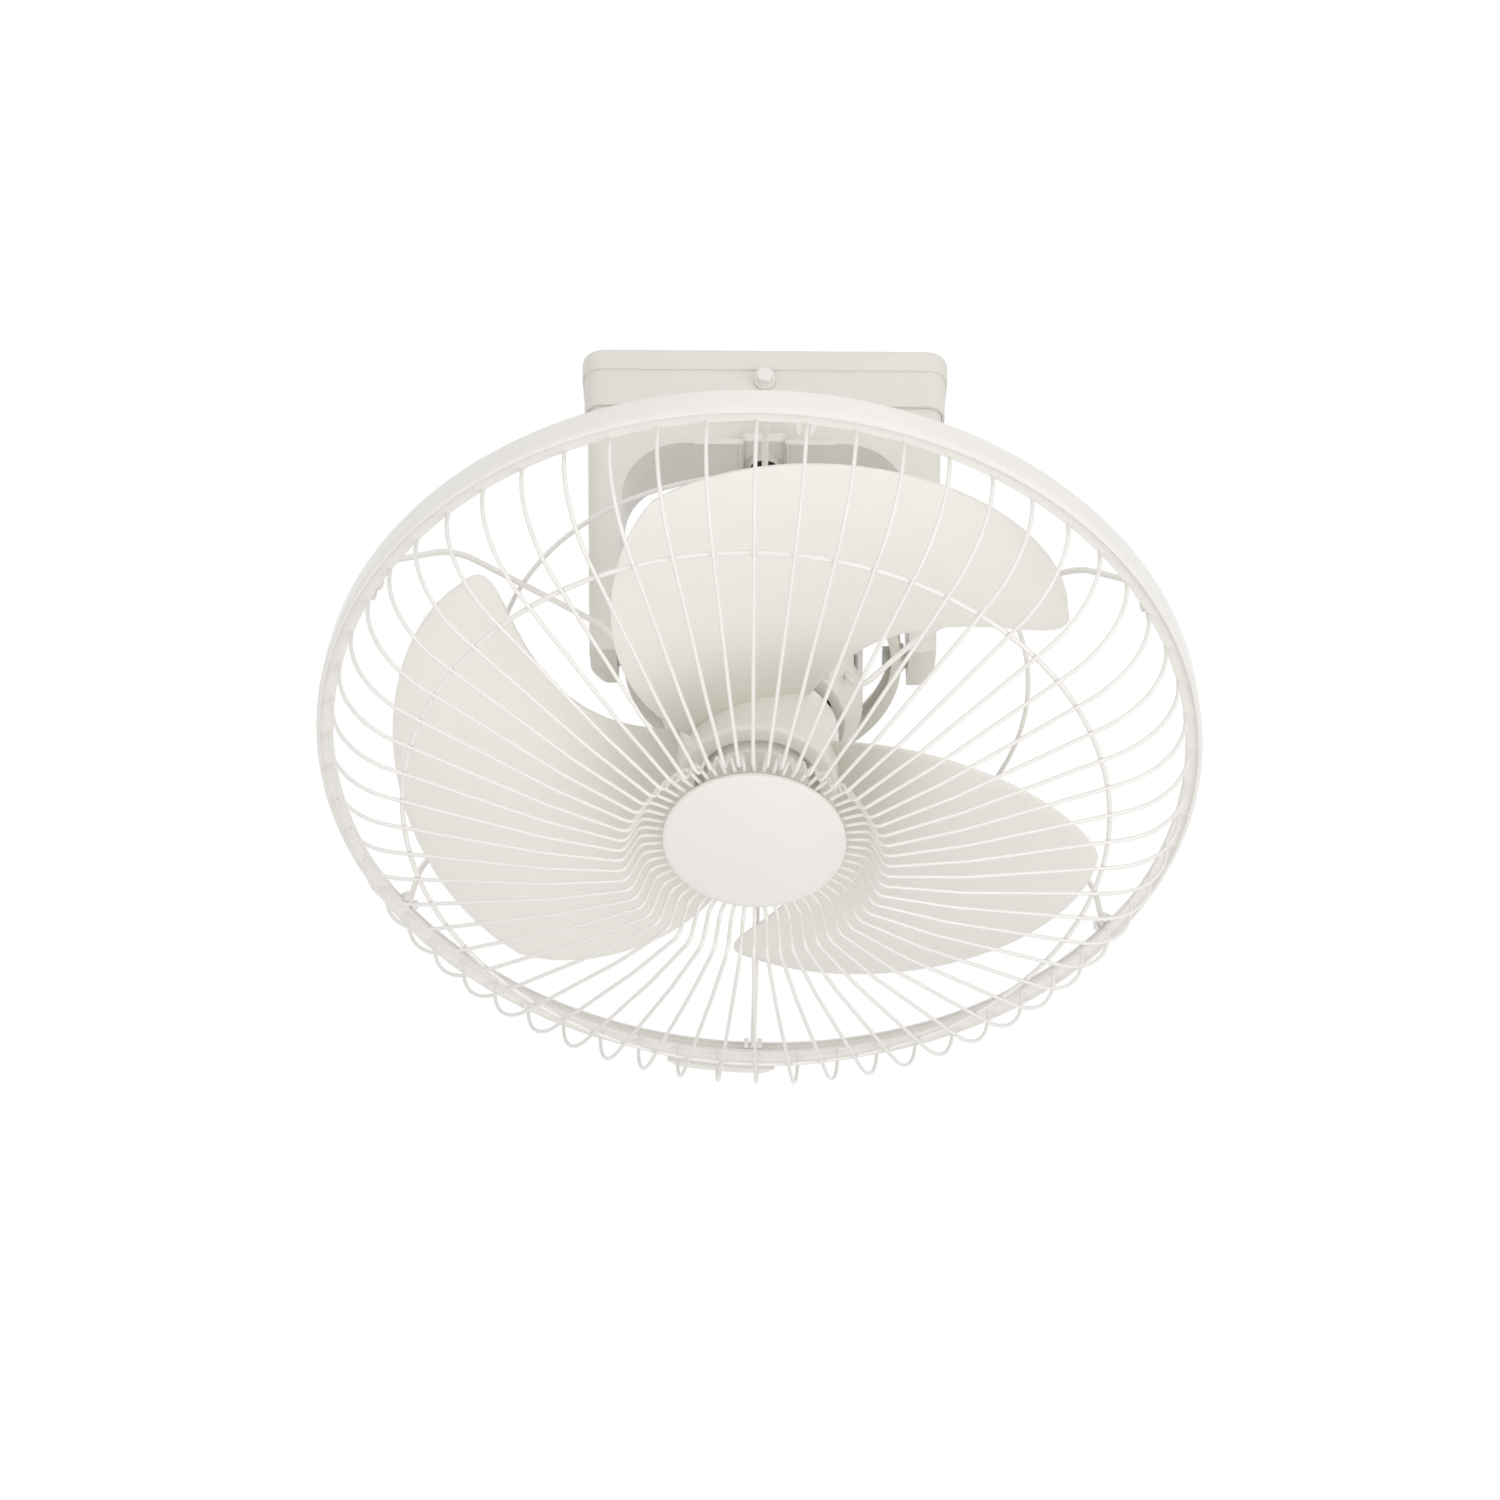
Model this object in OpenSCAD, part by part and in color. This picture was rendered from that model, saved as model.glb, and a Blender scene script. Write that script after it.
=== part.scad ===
// Orbital ceiling fan: a yoke under the ceiling carries a gimbal ring, the ring carries the motor,
// and a slow crank on the motor's back swings the whole guarded fan head round in a circle.
// Millimetres. Origin: centre of the ceiling face. +Z up, front of the fan towards -Y.

/* [Base] */
// Half the width of the canopy at the ceiling
base_half_w = 120.5; // [116:0.5:130]
// How much the half width shrinks per millimetre of height
base_taper = 0.045; // [0.02:0.005:0.07]
// Depth of the canopy, front to back
base_depth = 54; // [50:1:60]
// Corner radius of the canopy in plan
base_corner = 13; // [8:1:16]
// Height of the canopy cover
canopy_h = 45; // [38:1:50]
// Height of the thick lip round the top of the canopy
lip_h = 17; // [12:1:22]
// How far the lip stands out
lip_out = 1.2; // [0.6:0.2:2]
// Wall of the canopy cover
canopy_wall = 1.8; // [1.4:0.1:2.4]
// Wall of the two yoke covers
yoke_wall = 2.5; // [2:0.1:3]
// Clear gap between the canopy cover and the yoke covers
cover_gap = 0.3; // [0.2:0.05:0.5]
// Half the width of the opening between the yoke legs
leg_inner = 91; // [90:0.5:94]
// Corner radius of the opening
opening_r = 40; // [34:1:44]
// Height of the opening's top above the gimbal centre
opening_top = 146; // [145:0.5:150]
// How far the legs reach below the gimbal centre
leg_below = 11; // [10:0.5:14]
// Chamfer on the outer bottom corner of each leg
leg_chamfer = 9; // [5:0.5:10]
// How far the back of the yoke leans forward down to the leg ends
leg_back_lean = 9; // [5:1:10]
// Thickness of the ceiling plate
plate_t = 2.5; // [2:0.1:3]
// Spacing of the ceiling screws along the base
plate_hole_x = 150; // [130:5:180]
// Spacing of the ceiling screws across the base
plate_hole_y = 24; // [20:1:26]
// Radius of the ceiling screw holes
plate_hole_r = 2.75; // [2.5:0.05:3.25]
// Radius of the cable hole in the grommet
cable_r = 5.5; // [4:0.5:6]
// Width of the steel strap inside the yoke
strap_w = 24; // [20:1:26]
// Thickness of the steel strap
strap_t = 3; // [2.5:0.1:3]
// Radius of the thumb knob
knob_r = 5.8; // [5:0.1:6.4]
// Length of the thumb knob
knob_l = 8.5; // [7:0.5:10]
// Depth of the thumb knob's centre below the ceiling
knob_drop = 26; // [25:0.5:30]

/* [Gimbal] */
// Distance of the gimbal centre below the ceiling
gimbal_drop = 220; // [216:1:230]
// Tilt of the fan head
tilt = 19; // [16:0.5:19]
// How far round its orbit the head stands at rest, counted from the front
orbit_turn = 4.2; // [0:0.2:6]
// Outer radius of the gimbal ring
ring_r = 87; // [86:0.1:87.5]
// Height of the gimbal ring's strip
ring_h = 20; // [16:1:22]
// Thickness of the gimbal ring's strip
ring_t = 2.5; // [2:0.1:3]
// Inward flange of the gimbal ring
ring_flange = 4; // [3:0.5:5]
// Radius of the pivot bolts
pivot_r = 4; // [3.5:0.1:4.2]
// Running clearance of the pivot bolts in their bushes
pivot_clear = 0.05; // [0.03:0.01:0.08]
// Distance of the crank ball's centre from the gimbal centre
ball_reach = 136; // [134:0.5:137]
// Radius of the crank ball
ball_r = 6; // [5:0.25:6]
// Clear gap between the crank ball and its socket
ball_gap = 0.3; // [0.2:0.05:0.5]

/* [Motor] */
// Radius of the motor housing
motor_r = 63; // [60:0.5:64]
// Wall of the motor housing
motor_wall = 2.5; // [2:0.1:3]
// Distance of the motor's front face from the gimbal centre
motor_front = 63.5; // [60:0.5:66]
// Distance of the motor's back face from the gimbal centre
motor_back = 38; // [36:0.5:40]
// Radius of the motor shaft
shaft_r = 5; // [4:0.25:5.5]
// Running clearance of the shaft in its bearings
shaft_clear = 0.03; // [0.02:0.01:0.08]
// Number of slots in the stator
stator_slots = 8; // [8:4:12]
// Length of the stator stack
stack_h = 24; // [18:1:28]
// Module of the swing gears
gear_m = 1.25; // [1.2:0.05:1.25]
// Teeth on the swing pinion
pinion_teeth = 12; // [12:1:12]
// Teeth on the swing gear
gear_teeth = 36; // [36:1:36]
// Radius of the swing gear case
case_r = 43.5; // [43:0.5:46]

/* [Fan] */
// From the rim's outside in to the tips of the blades
tip_gap = 39; // [36:0.5:45]
// Number of blades
blade_count = 3; // [3:1:3]
// Thickness of a blade
blade_t = 2.2; // [1.8:0.1:3]
// Radius of the blade hub
hub_r = 48.5; // [46:0.5:50]
// Length of the blade hub
hub_len = 39; // [36:1:42]
// Radius of the spinner that holds the hub
spinner_r = 32.5; // [28:0.5:33]

/* [Guard] */
// Distance of the guard's rim plane from the gimbal centre
rim_plane = 107.5; // [106:0.5:110]
// Outer radius of the guard's rim band
rim_r = 264; // [262:0.5:268]
// Depth of the rim band behind the rim plane
rim_depth = 16; // [14:1:20]
// Wall of the rim band
rim_wall = 2.5; // [2:0.1:3]
// From the rim's outside in to the circle where the front wires leave the rim
rim_flange = 9; // [8:0.5:10]
// Number of front wires
wire_count = 60; // [48:6:60]
// Radius of a front wire
wire_r = 1; // [0.9:0.05:1.2]
// Radius of the rear spokes' wire
spoke_r = 1.8; // [1.6:0.1:2]
// Number of rear spokes
spoke_count = 6; // [6:1:6]
// How far the guard is turned on the motor
guard_turn = -0.4; // [-4:0.2:4]
// How far the rear spokes are turned on the motor
spoke_turn = 0.4; // [-4:0.2:4]
// Radius of the ring behind the front wires
support_ring_r = 206; // [200:1:212]
// Radius of the thin ring behind the rear spokes
rear_ring_r = 165; // [155:1:175]
// Radius of the support rings' wire
ring_wire_r = 1.4; // [1.2:0.1:1.6]
// Radius of the round cap in the middle of the guard
cap_r = 53.6; // [50:0.2:56]

/* [Hidden] */

$fn = 96;
eps = 0.01;                                  // overlap that makes cuts clean

white = [0.93, 0.92, 0.89];
ivory = [0.90, 0.89, 0.85];
shade = [0.84, 0.84, 0.80];
steel = [0.66, 0.67, 0.68];
black = [0.10, 0.10, 0.11];
brass = [0.76, 0.62, 0.32];
copper = [0.72, 0.42, 0.25];

// ---- base -----------------------------------------------------------------------------------
step_in = canopy_wall + cover_gap;           // yoke covers stand back from the canopy's outside
base_bottom = -(gimbal_drop + leg_below);    // world height of the leg ends
opening_z = -gimbal_drop + opening_top;      // world height of the opening's top
yoke_top = -canopy_h + 8;                    // the yoke covers reach up into the canopy
strap_x = leg_inner + yoke_wall + 0.1;       // inner face of the strap's legs
strap_top = -plate_t;                        // the strap hangs under the plate
strap_screw_x = 40;                          // where the strap's screws stand
strap_screw_r = 2;                           // radius of those screws
strap_nut_af = 7;                            // across flats of their nuts
strap_nut_h = 3.2;                           // height of their nuts
strap_hole_x = 75;                           // where the strap's lightening holes are
strap_hole_r = 10;                           // radius of those holes
scoop_r = 72;                                // radius of the scoop in the front cover
scoop_depth = 10;                            // depth of the scoop at its middle
scoop_top = -canopy_h - 2;                   // the scoop ends under the canopy
ledge_t = 3;                                 // strip left under the scoop
slot_w = 28;                                 // slot in the beam for the orbit socket
socket_r = 9;                                // radius of the orbit socket
socket_face = -gimbal_drop + ball_reach + ball_r + ball_gap;  // world height of the socket's face
holder_w = 22;                               // side of the socket holder
holder_t = 2;                                // its sheet
nut_af = 12;                                 // across flats of the pivot nuts and heads
nut_h = 6;                                   // height of the pivot nuts
washer_t = 0.8;                              // thickness of the pivot washers
washer_r = 7.2;                              // radius of the pivot washers

// ---- gimbal ---------------------------------------------------------------------------------
head_lean = asin(sin(tilt) * sin(orbit_turn)); // lean of the head in the gimbal ring
ring_lean = acos(cos(tilt) / cos(head_lean)); // lean of the gimbal ring in the yoke
crank_turn = -asin(cos(ring_lean) * sin(head_lean) / sin(tilt)); // turn of the crank on the head
pad_r = 9;                                   // radius of the round pads at the ring's pivots
pad_in = 82;                                 // inner face of the pads
pad_out = ring_r + 1.4;                      // outer face of the pads
bush_r = 6;                                  // outer radius of the pivot bushes
bush_flange = 1.5;                           // thickness of the bushes' flanges
head_h = 5.5;                                // height of the pivot bolts' heads
seat_gap = 0.1;                              // clearance under heads, washers and flanges
bolt_end = strap_x + strap_t + nut_h + 1.2;  // outer end of the leg pivot bolts
motor_boss_end = pad_in - bush_flange - 2 * seat_gap; // outer end of the motor's pivot bosses

// ---- motor, all heights along the head's axis, + towards the ceiling --------------------------
split_z = -8;                                // where the two motor shells meet
shell_r1 = 52;                               // radius of the motor's front face
shoulder_z = -46;                            // where the front shell starts to taper
stack_z = -36;                               // front end of the stator stack
post_x = 54;                                 // radius of the circle of the housing's screw posts
post_r = 3.4;                                // radius of those posts
stator_r = 49;                               // outer radius of the stator
bore_r = 27;                                 // bore of the stator
rotor_r = 26.4;                              // radius of the rotor
bearing_r = 11;                              // outer radius of the bearings
bearing_h = 9;                               // length of the bearings
shaft_front = -117;                          // front end of the motor shaft
shaft_back = 33;                             // back end of the motor shaft
vent_w = 7;                                  // width of the vent slots

// ---- swing drive ------------------------------------------------------------------------------
gear_pitch_r = gear_m * gear_teeth / 2;      // pitch radius of the swing gear
pinion_pitch_r = gear_m * pinion_teeth / 2;  // pitch radius of the pinion
gear_distance = gear_pitch_r + pinion_pitch_r; // distance between the two gear axes
gear_plate_t = 2.5;                          // thickness of the gear plate
gear_plate_z = motor_back + 0.3;             // front face of the gear plate
case_z = gear_plate_z + gear_plate_t;        // open end of the gear case
case_back = 90;                              // where the case's end cone starts
case_end = 97;                               // flat end of the case
case_wall = 2.5;                             // wall of the gear case
can_r = 22;                                  // radius of the swing motor's can
can_x = 18;                                  // offset of the can from the head's axis
can_z0 = case_z + 1;                         // bottom of the can
can_z1 = 63;                                 // top of the can
gear_z = 68;                                 // front face of the swing gear
gear_t = 8;                                  // thickness of the swing gear
gear_boss_r = 10;                            // radius of the swing gear's boss
gear_boss_h = 3;                             // rise of that boss on each side
gear_hole_x = 15;                            // where the gear's lightening holes are
gear_hole_r = 3.5;                           // radius of those holes
crank_shaft_r = 5;                           // radius of the crank shaft
bush_out = 5;                                // how far the crank bush stands out of the case
crank_z = 106;                               // front face of the crank arm
crank_t = 7;                                 // thickness of the crank arm
crank_hub_r = 11;                            // radius of the arm's end on the shaft
crank_tip_r = 8;                             // radius of the arm's end under the ball
crank_collar_r = 9;                          // radius of the collar between the bush and the arm
crank_stud_r = 3;                            // radius of the ball's stud
crank_throw = ball_reach * sin(tilt);        // crank radius that gives the tilt
ball_z = ball_reach * cos(tilt);             // height of the ball on the head's axis

// ---- guard, all heights h in front of the rim plane -------------------------------------------
wire_circle = rim_r - rim_flange;            // circle where the front wires leave the rim
blade_r = rim_r - tip_gap;                   // sweep radius of the blades
bowl_r = 52;                                 // bend of the front wires at the rim
shoulder_r = wire_circle - 49;               // radius where the front wires have left that bend
shoulder_h = 54.3;                           // their height there
dome_bend_r = 124;                           // radius of the slight bend between there and the crest
dome_bend_h = 72.6;                          // height of that bend
wire_rise = (dome_bend_h - shoulder_h) / (shoulder_r - dome_bend_r); // rise of the wires on the way in
bowl_turn = 90 - atan(wire_rise);            // angle that the bend at the rim turns through
crest_r = 75.6;                              // radius where the wires turn down round the cap
crest_h = 78.6;                              // height of that crest
dip_r = 67.3;                                // radius of the dip inside the crest
plate_wire_h = 56.5;                         // height of the wires over the guard plate
wire_in_r = 31;                              // radius where the wires end under the cap
guard_plate_r = 42;                          // radius of the plate under the cap
guard_plate_t = 2;                           // its thickness
cap_screw_len = 5.6;                         // length of the screw through that plate into the cap
spoke_depth = 73;                            // deepest reach of the rear spokes behind the rim plane
spoke_knee_r = 112;                          // radius where the rear spokes turn in to the motor
spoke_knee = 66;                             // their depth there
spoke_dive_r = 68;                           // radius of the bend before the motor's holes
spoke_dive = 38;                             // its depth
spoke_end_r = 59.5;                          // radius where the rear spokes end in the motor
spoke_end = 57.5;                            // their depth there
spoke_seat = 12;                             // from that bend to the mouth of the motor's holes
cap_edge_h = 61.7;                           // height of the cap's edge
cap_dome = 3.5;                              // rise of the cap's dome
cap_boss_r = 29;                             // radius of the boss under the cap
blade_turn = -0.4;                           // where the blades stand at rest
rim_front = 3;                               // height of the rim's outer ridge

function h_z(h) = -rim_plane - h;            // height before the rim plane to head axis height

// Point on a circle
function polar(r, a) = [r * cos(a), r * sin(a)];

// ---- placing ----------------------------------------------------------------------------------
// The gimbal ring's own axes: the ring leans about the leg pivots
module ring_frame() {
    translate([0, 0, -gimbal_drop]) rotate([-ring_lean, 0, 0]) children();
}

// The fan head's own axes: the head leans about the ring's front and back pivots
module head_frame() {
    ring_frame() rotate([0, head_lean, 0]) children();
}

// The crank, turned so that its ball stands under the orbit socket
module crank_frame() {
    head_frame() rotate([0, 0, crank_turn]) children();
}

// A cylinder along X
module x_rod(x0, x1, r, fn = 48) {
    translate([x0, 0, 0]) rotate([0, 90, 0]) cylinder(h = x1 - x0, r = r, $fn = fn);
}

// A hexagon prism along Z
module hex(af, h) {
    cylinder(h = h, r = af / 2 / cos(30), $fn = 6);
}

// A ring between two radii, from z0 to z1
module tube(z0, z1, r_out, r_in, fn = 96) {
    translate([0, 0, z0]) difference() {
        cylinder(h = z1 - z0, r = r_out, $fn = fn);
        translate([0, 0, -1]) cylinder(h = z1 - z0 + 2, r = r_in, $fn = fn);
    }
}

// ---- round wire along a planar path -------------------------------------------------------------
// Each path point is [x, y, bend radius]; the path lies in the XY plane. A bend is a few short
// straight lengths, and a thin collar closes the joint between two lengths.
function unit(v) = v / norm(v);
function point2(p) = [p[0], p[1]];
function turn_angle(a, b) = atan2(a[0] * b[1] - a[1] * b[0], a * b);
function turned(v, a) = [v[0] * cos(a) - v[1] * sin(a), v[0] * sin(a) + v[1] * cos(a)];
function bend_points(p, i) =
    (i == 0 || i == len(p) - 1) ? [point2(p[i])] :
    let (a = unit(point2(p[i]) - point2(p[i - 1])), b = unit(point2(p[i + 1]) - point2(p[i])),
        t = turn_angle(a, b), start = point2(p[i]) - a * p[i][2] * tan(abs(t) / 2),
        arm = sign(t) * p[i][2] * [a[1], -a[0]],
        n = ceil(abs(t) / (p[i][2] > 20 ? 21 : 36)))
    [for (k = [0 : n]) start - arm + turned(arm, t * k / n)];

module wire_path(p, r) {
    q = [for (i = [0 : len(p) - 1]) each bend_points(p, i)];
    n = len(q) - 1;
    half = [for (i = [0 : n])
        (i == 0 || i == n) ? 0 : abs(turn_angle(q[i] - q[i - 1], q[i + 1] - q[i])) / 2];
    gap = [for (i = [0 : n]) (i == 0 || i == n) ? 0 : r * (tan(half[i]) + 0.1)];
    for (i = [0 : n - 1]) {
        d = q[i + 1] - q[i];
        a = q[i] + unit(d) * gap[i];
        translate([a[0], a[1], 0]) rotate([0, 0, atan2(d[1], d[0])]) rotate([0, 90, 0])
            cylinder(h = norm(d) - gap[i] - gap[i + 1], r = r, $fn = 20);
    }
    for (i = [1 : n - 1]) {
        d = unit(q[i] - q[i - 1]) + unit(q[i + 1] - q[i]);
        reach = 2 * sin(half[i]) + 0.2;
        collar_r = r * (1 / cos(half[i]) + reach * tan(half[i]) + 0.03);
        translate([q[i][0], q[i][1], 0]) rotate([0, 0, atan2(d[1], d[0])]) rotate([0, 90, 0])
            cylinder(h = 2 * reach * r, r = collar_r, center = true, $fn = 20);
    }
}

// Stands a radial path up: path x is the radius, path y the height h before the rim plane,
// and phi the direction, clockwise from the front as seen from below
module radial(phi) {
    rotate([0, 0, phi - 90]) translate([0, 0, -rim_plane]) rotate([-90, 0, 0]) children();
}

// ---- base pieces --------------------------------------------------------------------------------
function half_w(z, inset) = base_half_w - inset + base_taper * z;

// Tapered block with round upright corners, between heights z0 and z1
module base_block(z0, z1, inset, lean) {
    half_d = base_depth / 2 - inset;
    r = max(base_corner - inset, 2);
    hull() for (z = [z0, z1], sx = [-1, 1], sy = [-1, 1]) {
        back = sy > 0 ? lean * z / base_bottom : 0;
        translate([sx * (half_w(z, inset) - r), sy * (half_d - r) - back, z - (z == z1 ? eps : 0)])
            cylinder(h = eps, r = r, $fn = 32);
    }
}

// The opening between the legs; grow widens it by a wall
module yoke_opening(grow) {
    top = opening_z + grow;
    r = opening_r + grow;
    half = leg_inner + grow;
    rotate([90, 0, 0]) translate([0, 0, -base_depth]) linear_extrude(height = 2 * base_depth) {
        translate([-half, base_bottom - 20]) square([2 * half, top - r - base_bottom + 20]);
        translate([-(half - r), top - r - 1]) square([2 * (half - r), r + 1]);
        for (s = [-1, 1]) translate([s * (half - r), top - r]) circle(r = r);
    }
}

// Chamfers on the outer bottom corners of the legs, seen from the front
module leg_corner_cuts() {
    for (s = [-1, 1]) translate([s * (half_w(base_bottom, step_in) - leg_chamfer), 0, base_bottom])
        rotate([0, -s * 29, 0]) translate([s > 0 ? -1 : -39, -base_depth, -20])
            cube([40, 2 * base_depth, 20]);
}

// Shallow bowl in the front of the beam, with a strip left under it
module beam_scoop(grow) {
    intersection() {
        translate([0, -base_depth / 2 + step_in + scoop_depth + grow, opening_z + ledge_t])
            rotate([90, 0, 0])
            cylinder(h = scoop_depth + grow + 1, r1 = 0, r2 = scoop_r * (1 + (grow + 1) / scoop_depth));
        translate([-base_half_w, -base_depth, opening_z + ledge_t - grow])
            cube([2 * base_half_w, base_depth, scoop_top - opening_z - ledge_t + 2 * grow]);
    }
}

// Hollow inverted U shared by the two yoke covers
module yoke_shell() {
    difference() {
        base_block(base_bottom, yoke_top, step_in, leg_back_lean);
        yoke_opening(0);
        leg_corner_cuts();
        difference() {
            base_block(base_bottom + yoke_wall, 1, step_in + yoke_wall, leg_back_lean);
            yoke_opening(yoke_wall);
            translate([0, 0, yoke_wall]) leg_corner_cuts();
            beam_scoop(yoke_wall);
        }
        beam_scoop(0);
        translate([-slot_w / 2, -base_depth, opening_z - 1])
            cube([slot_w, base_depth + 13, ledge_t + 8]);
        for (s = [-1, 1]) translate([s * leg_inner, 0, -gimbal_drop])
            rotate([0, s * 90, 0]) translate([0, 0, -2]) cylinder(h = 8, r = pivot_r + 0.4, $fn = 48);
    }
}

module yoke_front_cover() {
    color(ivory) intersection() {
        yoke_shell();
        translate([-200, -100, -300]) cube([400, 100 - seat_gap, 300]);
    }
}

module yoke_rear_cover() {
    color(ivory) intersection() {
        yoke_shell();
        translate([-200, 0, -300]) cube([400, 100, 300]);
    }
}

module canopy_cover() {
    color(ivory) difference() {
        union() {
            base_block(-canopy_h, 0, 0, 0);
            base_block(-lip_h, 0, -lip_out, 0);
        }
        base_block(-canopy_h - 1, 1, canopy_wall, 0);
        translate([0, -base_depth / 2 - 3, -knob_drop]) rotate([-90, 0, 0])
            cylinder(h = 8, r = 2.2, $fn = 48);
    }
}

module mounting_plate() {
    w = 2 * (half_w(0, canopy_wall) - 0.5);
    d = base_depth - 2 * canopy_wall - 1;
    color(steel) difference() {
        union() {
            translate([-w / 2, -d / 2 + 10, -plate_t]) cube([w, d - 20, plate_t]);
            translate([-w / 2 + 10, -d / 2, -plate_t]) cube([w - 20, d, plate_t]);
            translate([-12, -d / 2, -knob_drop - 9]) cube([24, plate_t, knob_drop + 9]);
        }
        for (x = [-1, 1], y = [-1, 1])
            translate([x * plate_hole_x / 2, y * plate_hole_y / 2, -plate_t - 1])
                cylinder(h = plate_t + 2, r = plate_hole_r, $fn = 48);
        translate([0, 0, -plate_t - 1]) cylinder(h = plate_t + 2, r = 9, $fn = 64);
        for (s = [-1, 1]) translate([s * strap_screw_x, 0, -plate_t - 1])
            cylinder(h = plate_t + 2, r = strap_screw_r + 0.1, $fn = 48);
        translate([0, -d / 2 - 1, -knob_drop]) rotate([-90, 0, 0])
            cylinder(h = plate_t + 2, r = 2.1, $fn = 48);
    }
}

module cable_grommet() {
    color(black) difference() {
        union() {
            tube(-plate_t, 0, 8.9, cable_r);
            tube(-plate_t - 1.5, -plate_t, 11, cable_r);
        }
    }
}

module frame_strap() {
    z0 = -gimbal_drop - leg_below + yoke_wall + 1.5;
    out = strap_x + strap_t;
    color(steel) difference() {
        union() {
            translate([-out, -strap_w / 2, strap_top - strap_t]) cube([2 * out, strap_w, strap_t]);
            for (s = [-1, 1]) translate([s > 0 ? strap_x : -out, -strap_w / 2, z0])
                cube([strap_t, strap_w, strap_top - z0]);
        }
        for (s = [-1, 1]) {
            translate([s * strap_screw_x, 0, strap_top - strap_t - 1])
                cylinder(h = strap_t + 2, r = strap_screw_r + 0.1, $fn = 48);
            translate([s > 0 ? strap_x - 1 : -out - 1, 0, -gimbal_drop]) x_rod(0, strap_t + 2, pivot_r + 0.1);
            translate([s * strap_hole_x, 0, strap_top - strap_t - 1])
                cylinder(h = strap_t + 2, r = strap_hole_r, $fn = 48);
        }
        translate([0, 0, strap_top - strap_t - 1]) cylinder(h = strap_t + 2, r = 11.5, $fn = 64);
    }
}

module plate_screws() {
    tail = strap_nut_h + 1.8;
    color(steel) for (s = [-1, 1]) translate([s * strap_screw_x, 0, 0]) {
        translate([0, 0, strap_top - strap_t - tail])
            cylinder(h = tail + strap_t + plate_t - 0.3, r = strap_screw_r, $fn = 32);
        translate([0, 0, strap_top - strap_t - strap_nut_h]) hex(strap_nut_af, strap_nut_h);
    }
}

module cover_knob() {
    y0 = -base_depth / 2 - 0.3;
    color(white) translate([0, y0, -knob_drop]) rotate([90, 0, 0]) difference() {
        union() {
            cylinder(h = 2, r = knob_r + 1, $fn = 64);
            translate([0, 0, 2 - eps]) cylinder(h = knob_l - 3, r = knob_r, $fn = 64);
            translate([0, 0, knob_l - 1 - eps]) cylinder(h = 1, r1 = knob_r, r2 = knob_r - 0.8, $fn = 64);
            translate([0, 0, -9]) cylinder(h = 9 + eps, r = 2, $fn = 48);
        }
        for (a = [0 : 20 : 340]) rotate([0, 0, a]) translate([knob_r + 0.15, 0, 2.6])
            cylinder(h = knob_l - 4.2, r = 0.45, $fn = 16);
    }
}

module knob_nut() {
    d = base_depth - 2 * canopy_wall - 1;
    color(brass) translate([0, -d / 2 + plate_t, -knob_drop]) rotate([-90, 0, 0]) difference() {
        hex(8, 4);
        translate([0, 0, -1]) cylinder(h = 6, r = 2.05, $fn = 48);
    }
}

module terminal_block() {
    z = strap_top - strap_t;
    color(white) translate([-78, -8, z - 12]) difference() {
        cube([30, 16, 12]);
        for (i = [0 : 2]) translate([5 + 10 * i, -1, 6]) rotate([-90, 0, 0])
            cylinder(h = 18, r = 1.8, $fn = 24);
        for (i = [0 : 1]) translate([9.3 + 10 * i, -1, -1]) cube([1.4, 18, 4]);
    }
}

module orbit_socket_holder() {
    z1 = strap_top - strap_t;
    z0 = socket_face + 12;
    w = holder_w / 2;
    color(steel) difference() {
        union() {
            for (s = [-1, 1]) translate([s > 0 ? w - holder_t : -w, -w, z0]) cube([holder_t, 2 * w, z1 - z0]);
            translate([-w, -w, z0]) cube([2 * w, 2 * w, holder_t]);
        }
        translate([0, 0, z0 - 1]) cylinder(h = holder_t + 2, r = 5.1, $fn = 48);
    }
}

module orbit_socket() {
    z0 = socket_face + 12;
    color(black) union() {
        difference() {
            translate([0, 0, socket_face]) cylinder(h = 12, r = socket_r);
            translate([0, 0, socket_face - 1]) cylinder(h = 3, r1 = 6.5, r2 = 3.5);
        }
        translate([0, 0, z0 - eps]) cylinder(h = holder_t + 2, r = 5, $fn = 48);
    }
}

module leg_pivot_bolts() {
    color(shade) for (s = [0, 180]) translate([0, 0, -gimbal_drop]) rotate([0, 0, s]) {
        x1 = pad_in - washer_t - 2 * seat_gap;
        translate([x1 - head_h, 0, 0]) rotate([0, 90, 0]) rotate([0, 0, 30]) hex(nut_af, head_h);
        x_rod(x1 - eps, bolt_end, pivot_r);
    }
}

module leg_pivot_nuts() {
    color(steel) for (s = [0, 180]) translate([0, 0, -gimbal_drop]) rotate([0, 0, s]) difference() {
        translate([strap_x + strap_t, 0, 0]) rotate([0, 90, 0]) rotate([0, 0, 30]) hex(nut_af, nut_h);
        x_rod(strap_x, bolt_end + 2, pivot_r + 0.05);
    }
}

module leg_pivot_washers() {
    color(steel) for (s = [0, 180]) translate([0, 0, -gimbal_drop]) rotate([0, 0, s]) {
        difference() {
            x_rod(pad_in - washer_t - seat_gap, pad_in - seat_gap, washer_r);
            x_rod(pad_in - washer_t - 1, pad_in, pivot_r + 0.1);
        }
        difference() {
            x_rod(pad_out + bush_flange + seat_gap, leg_inner, washer_r);
            x_rod(pad_out + bush_flange, leg_inner + 1, pivot_r + 0.1);
        }
    }
}

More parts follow.
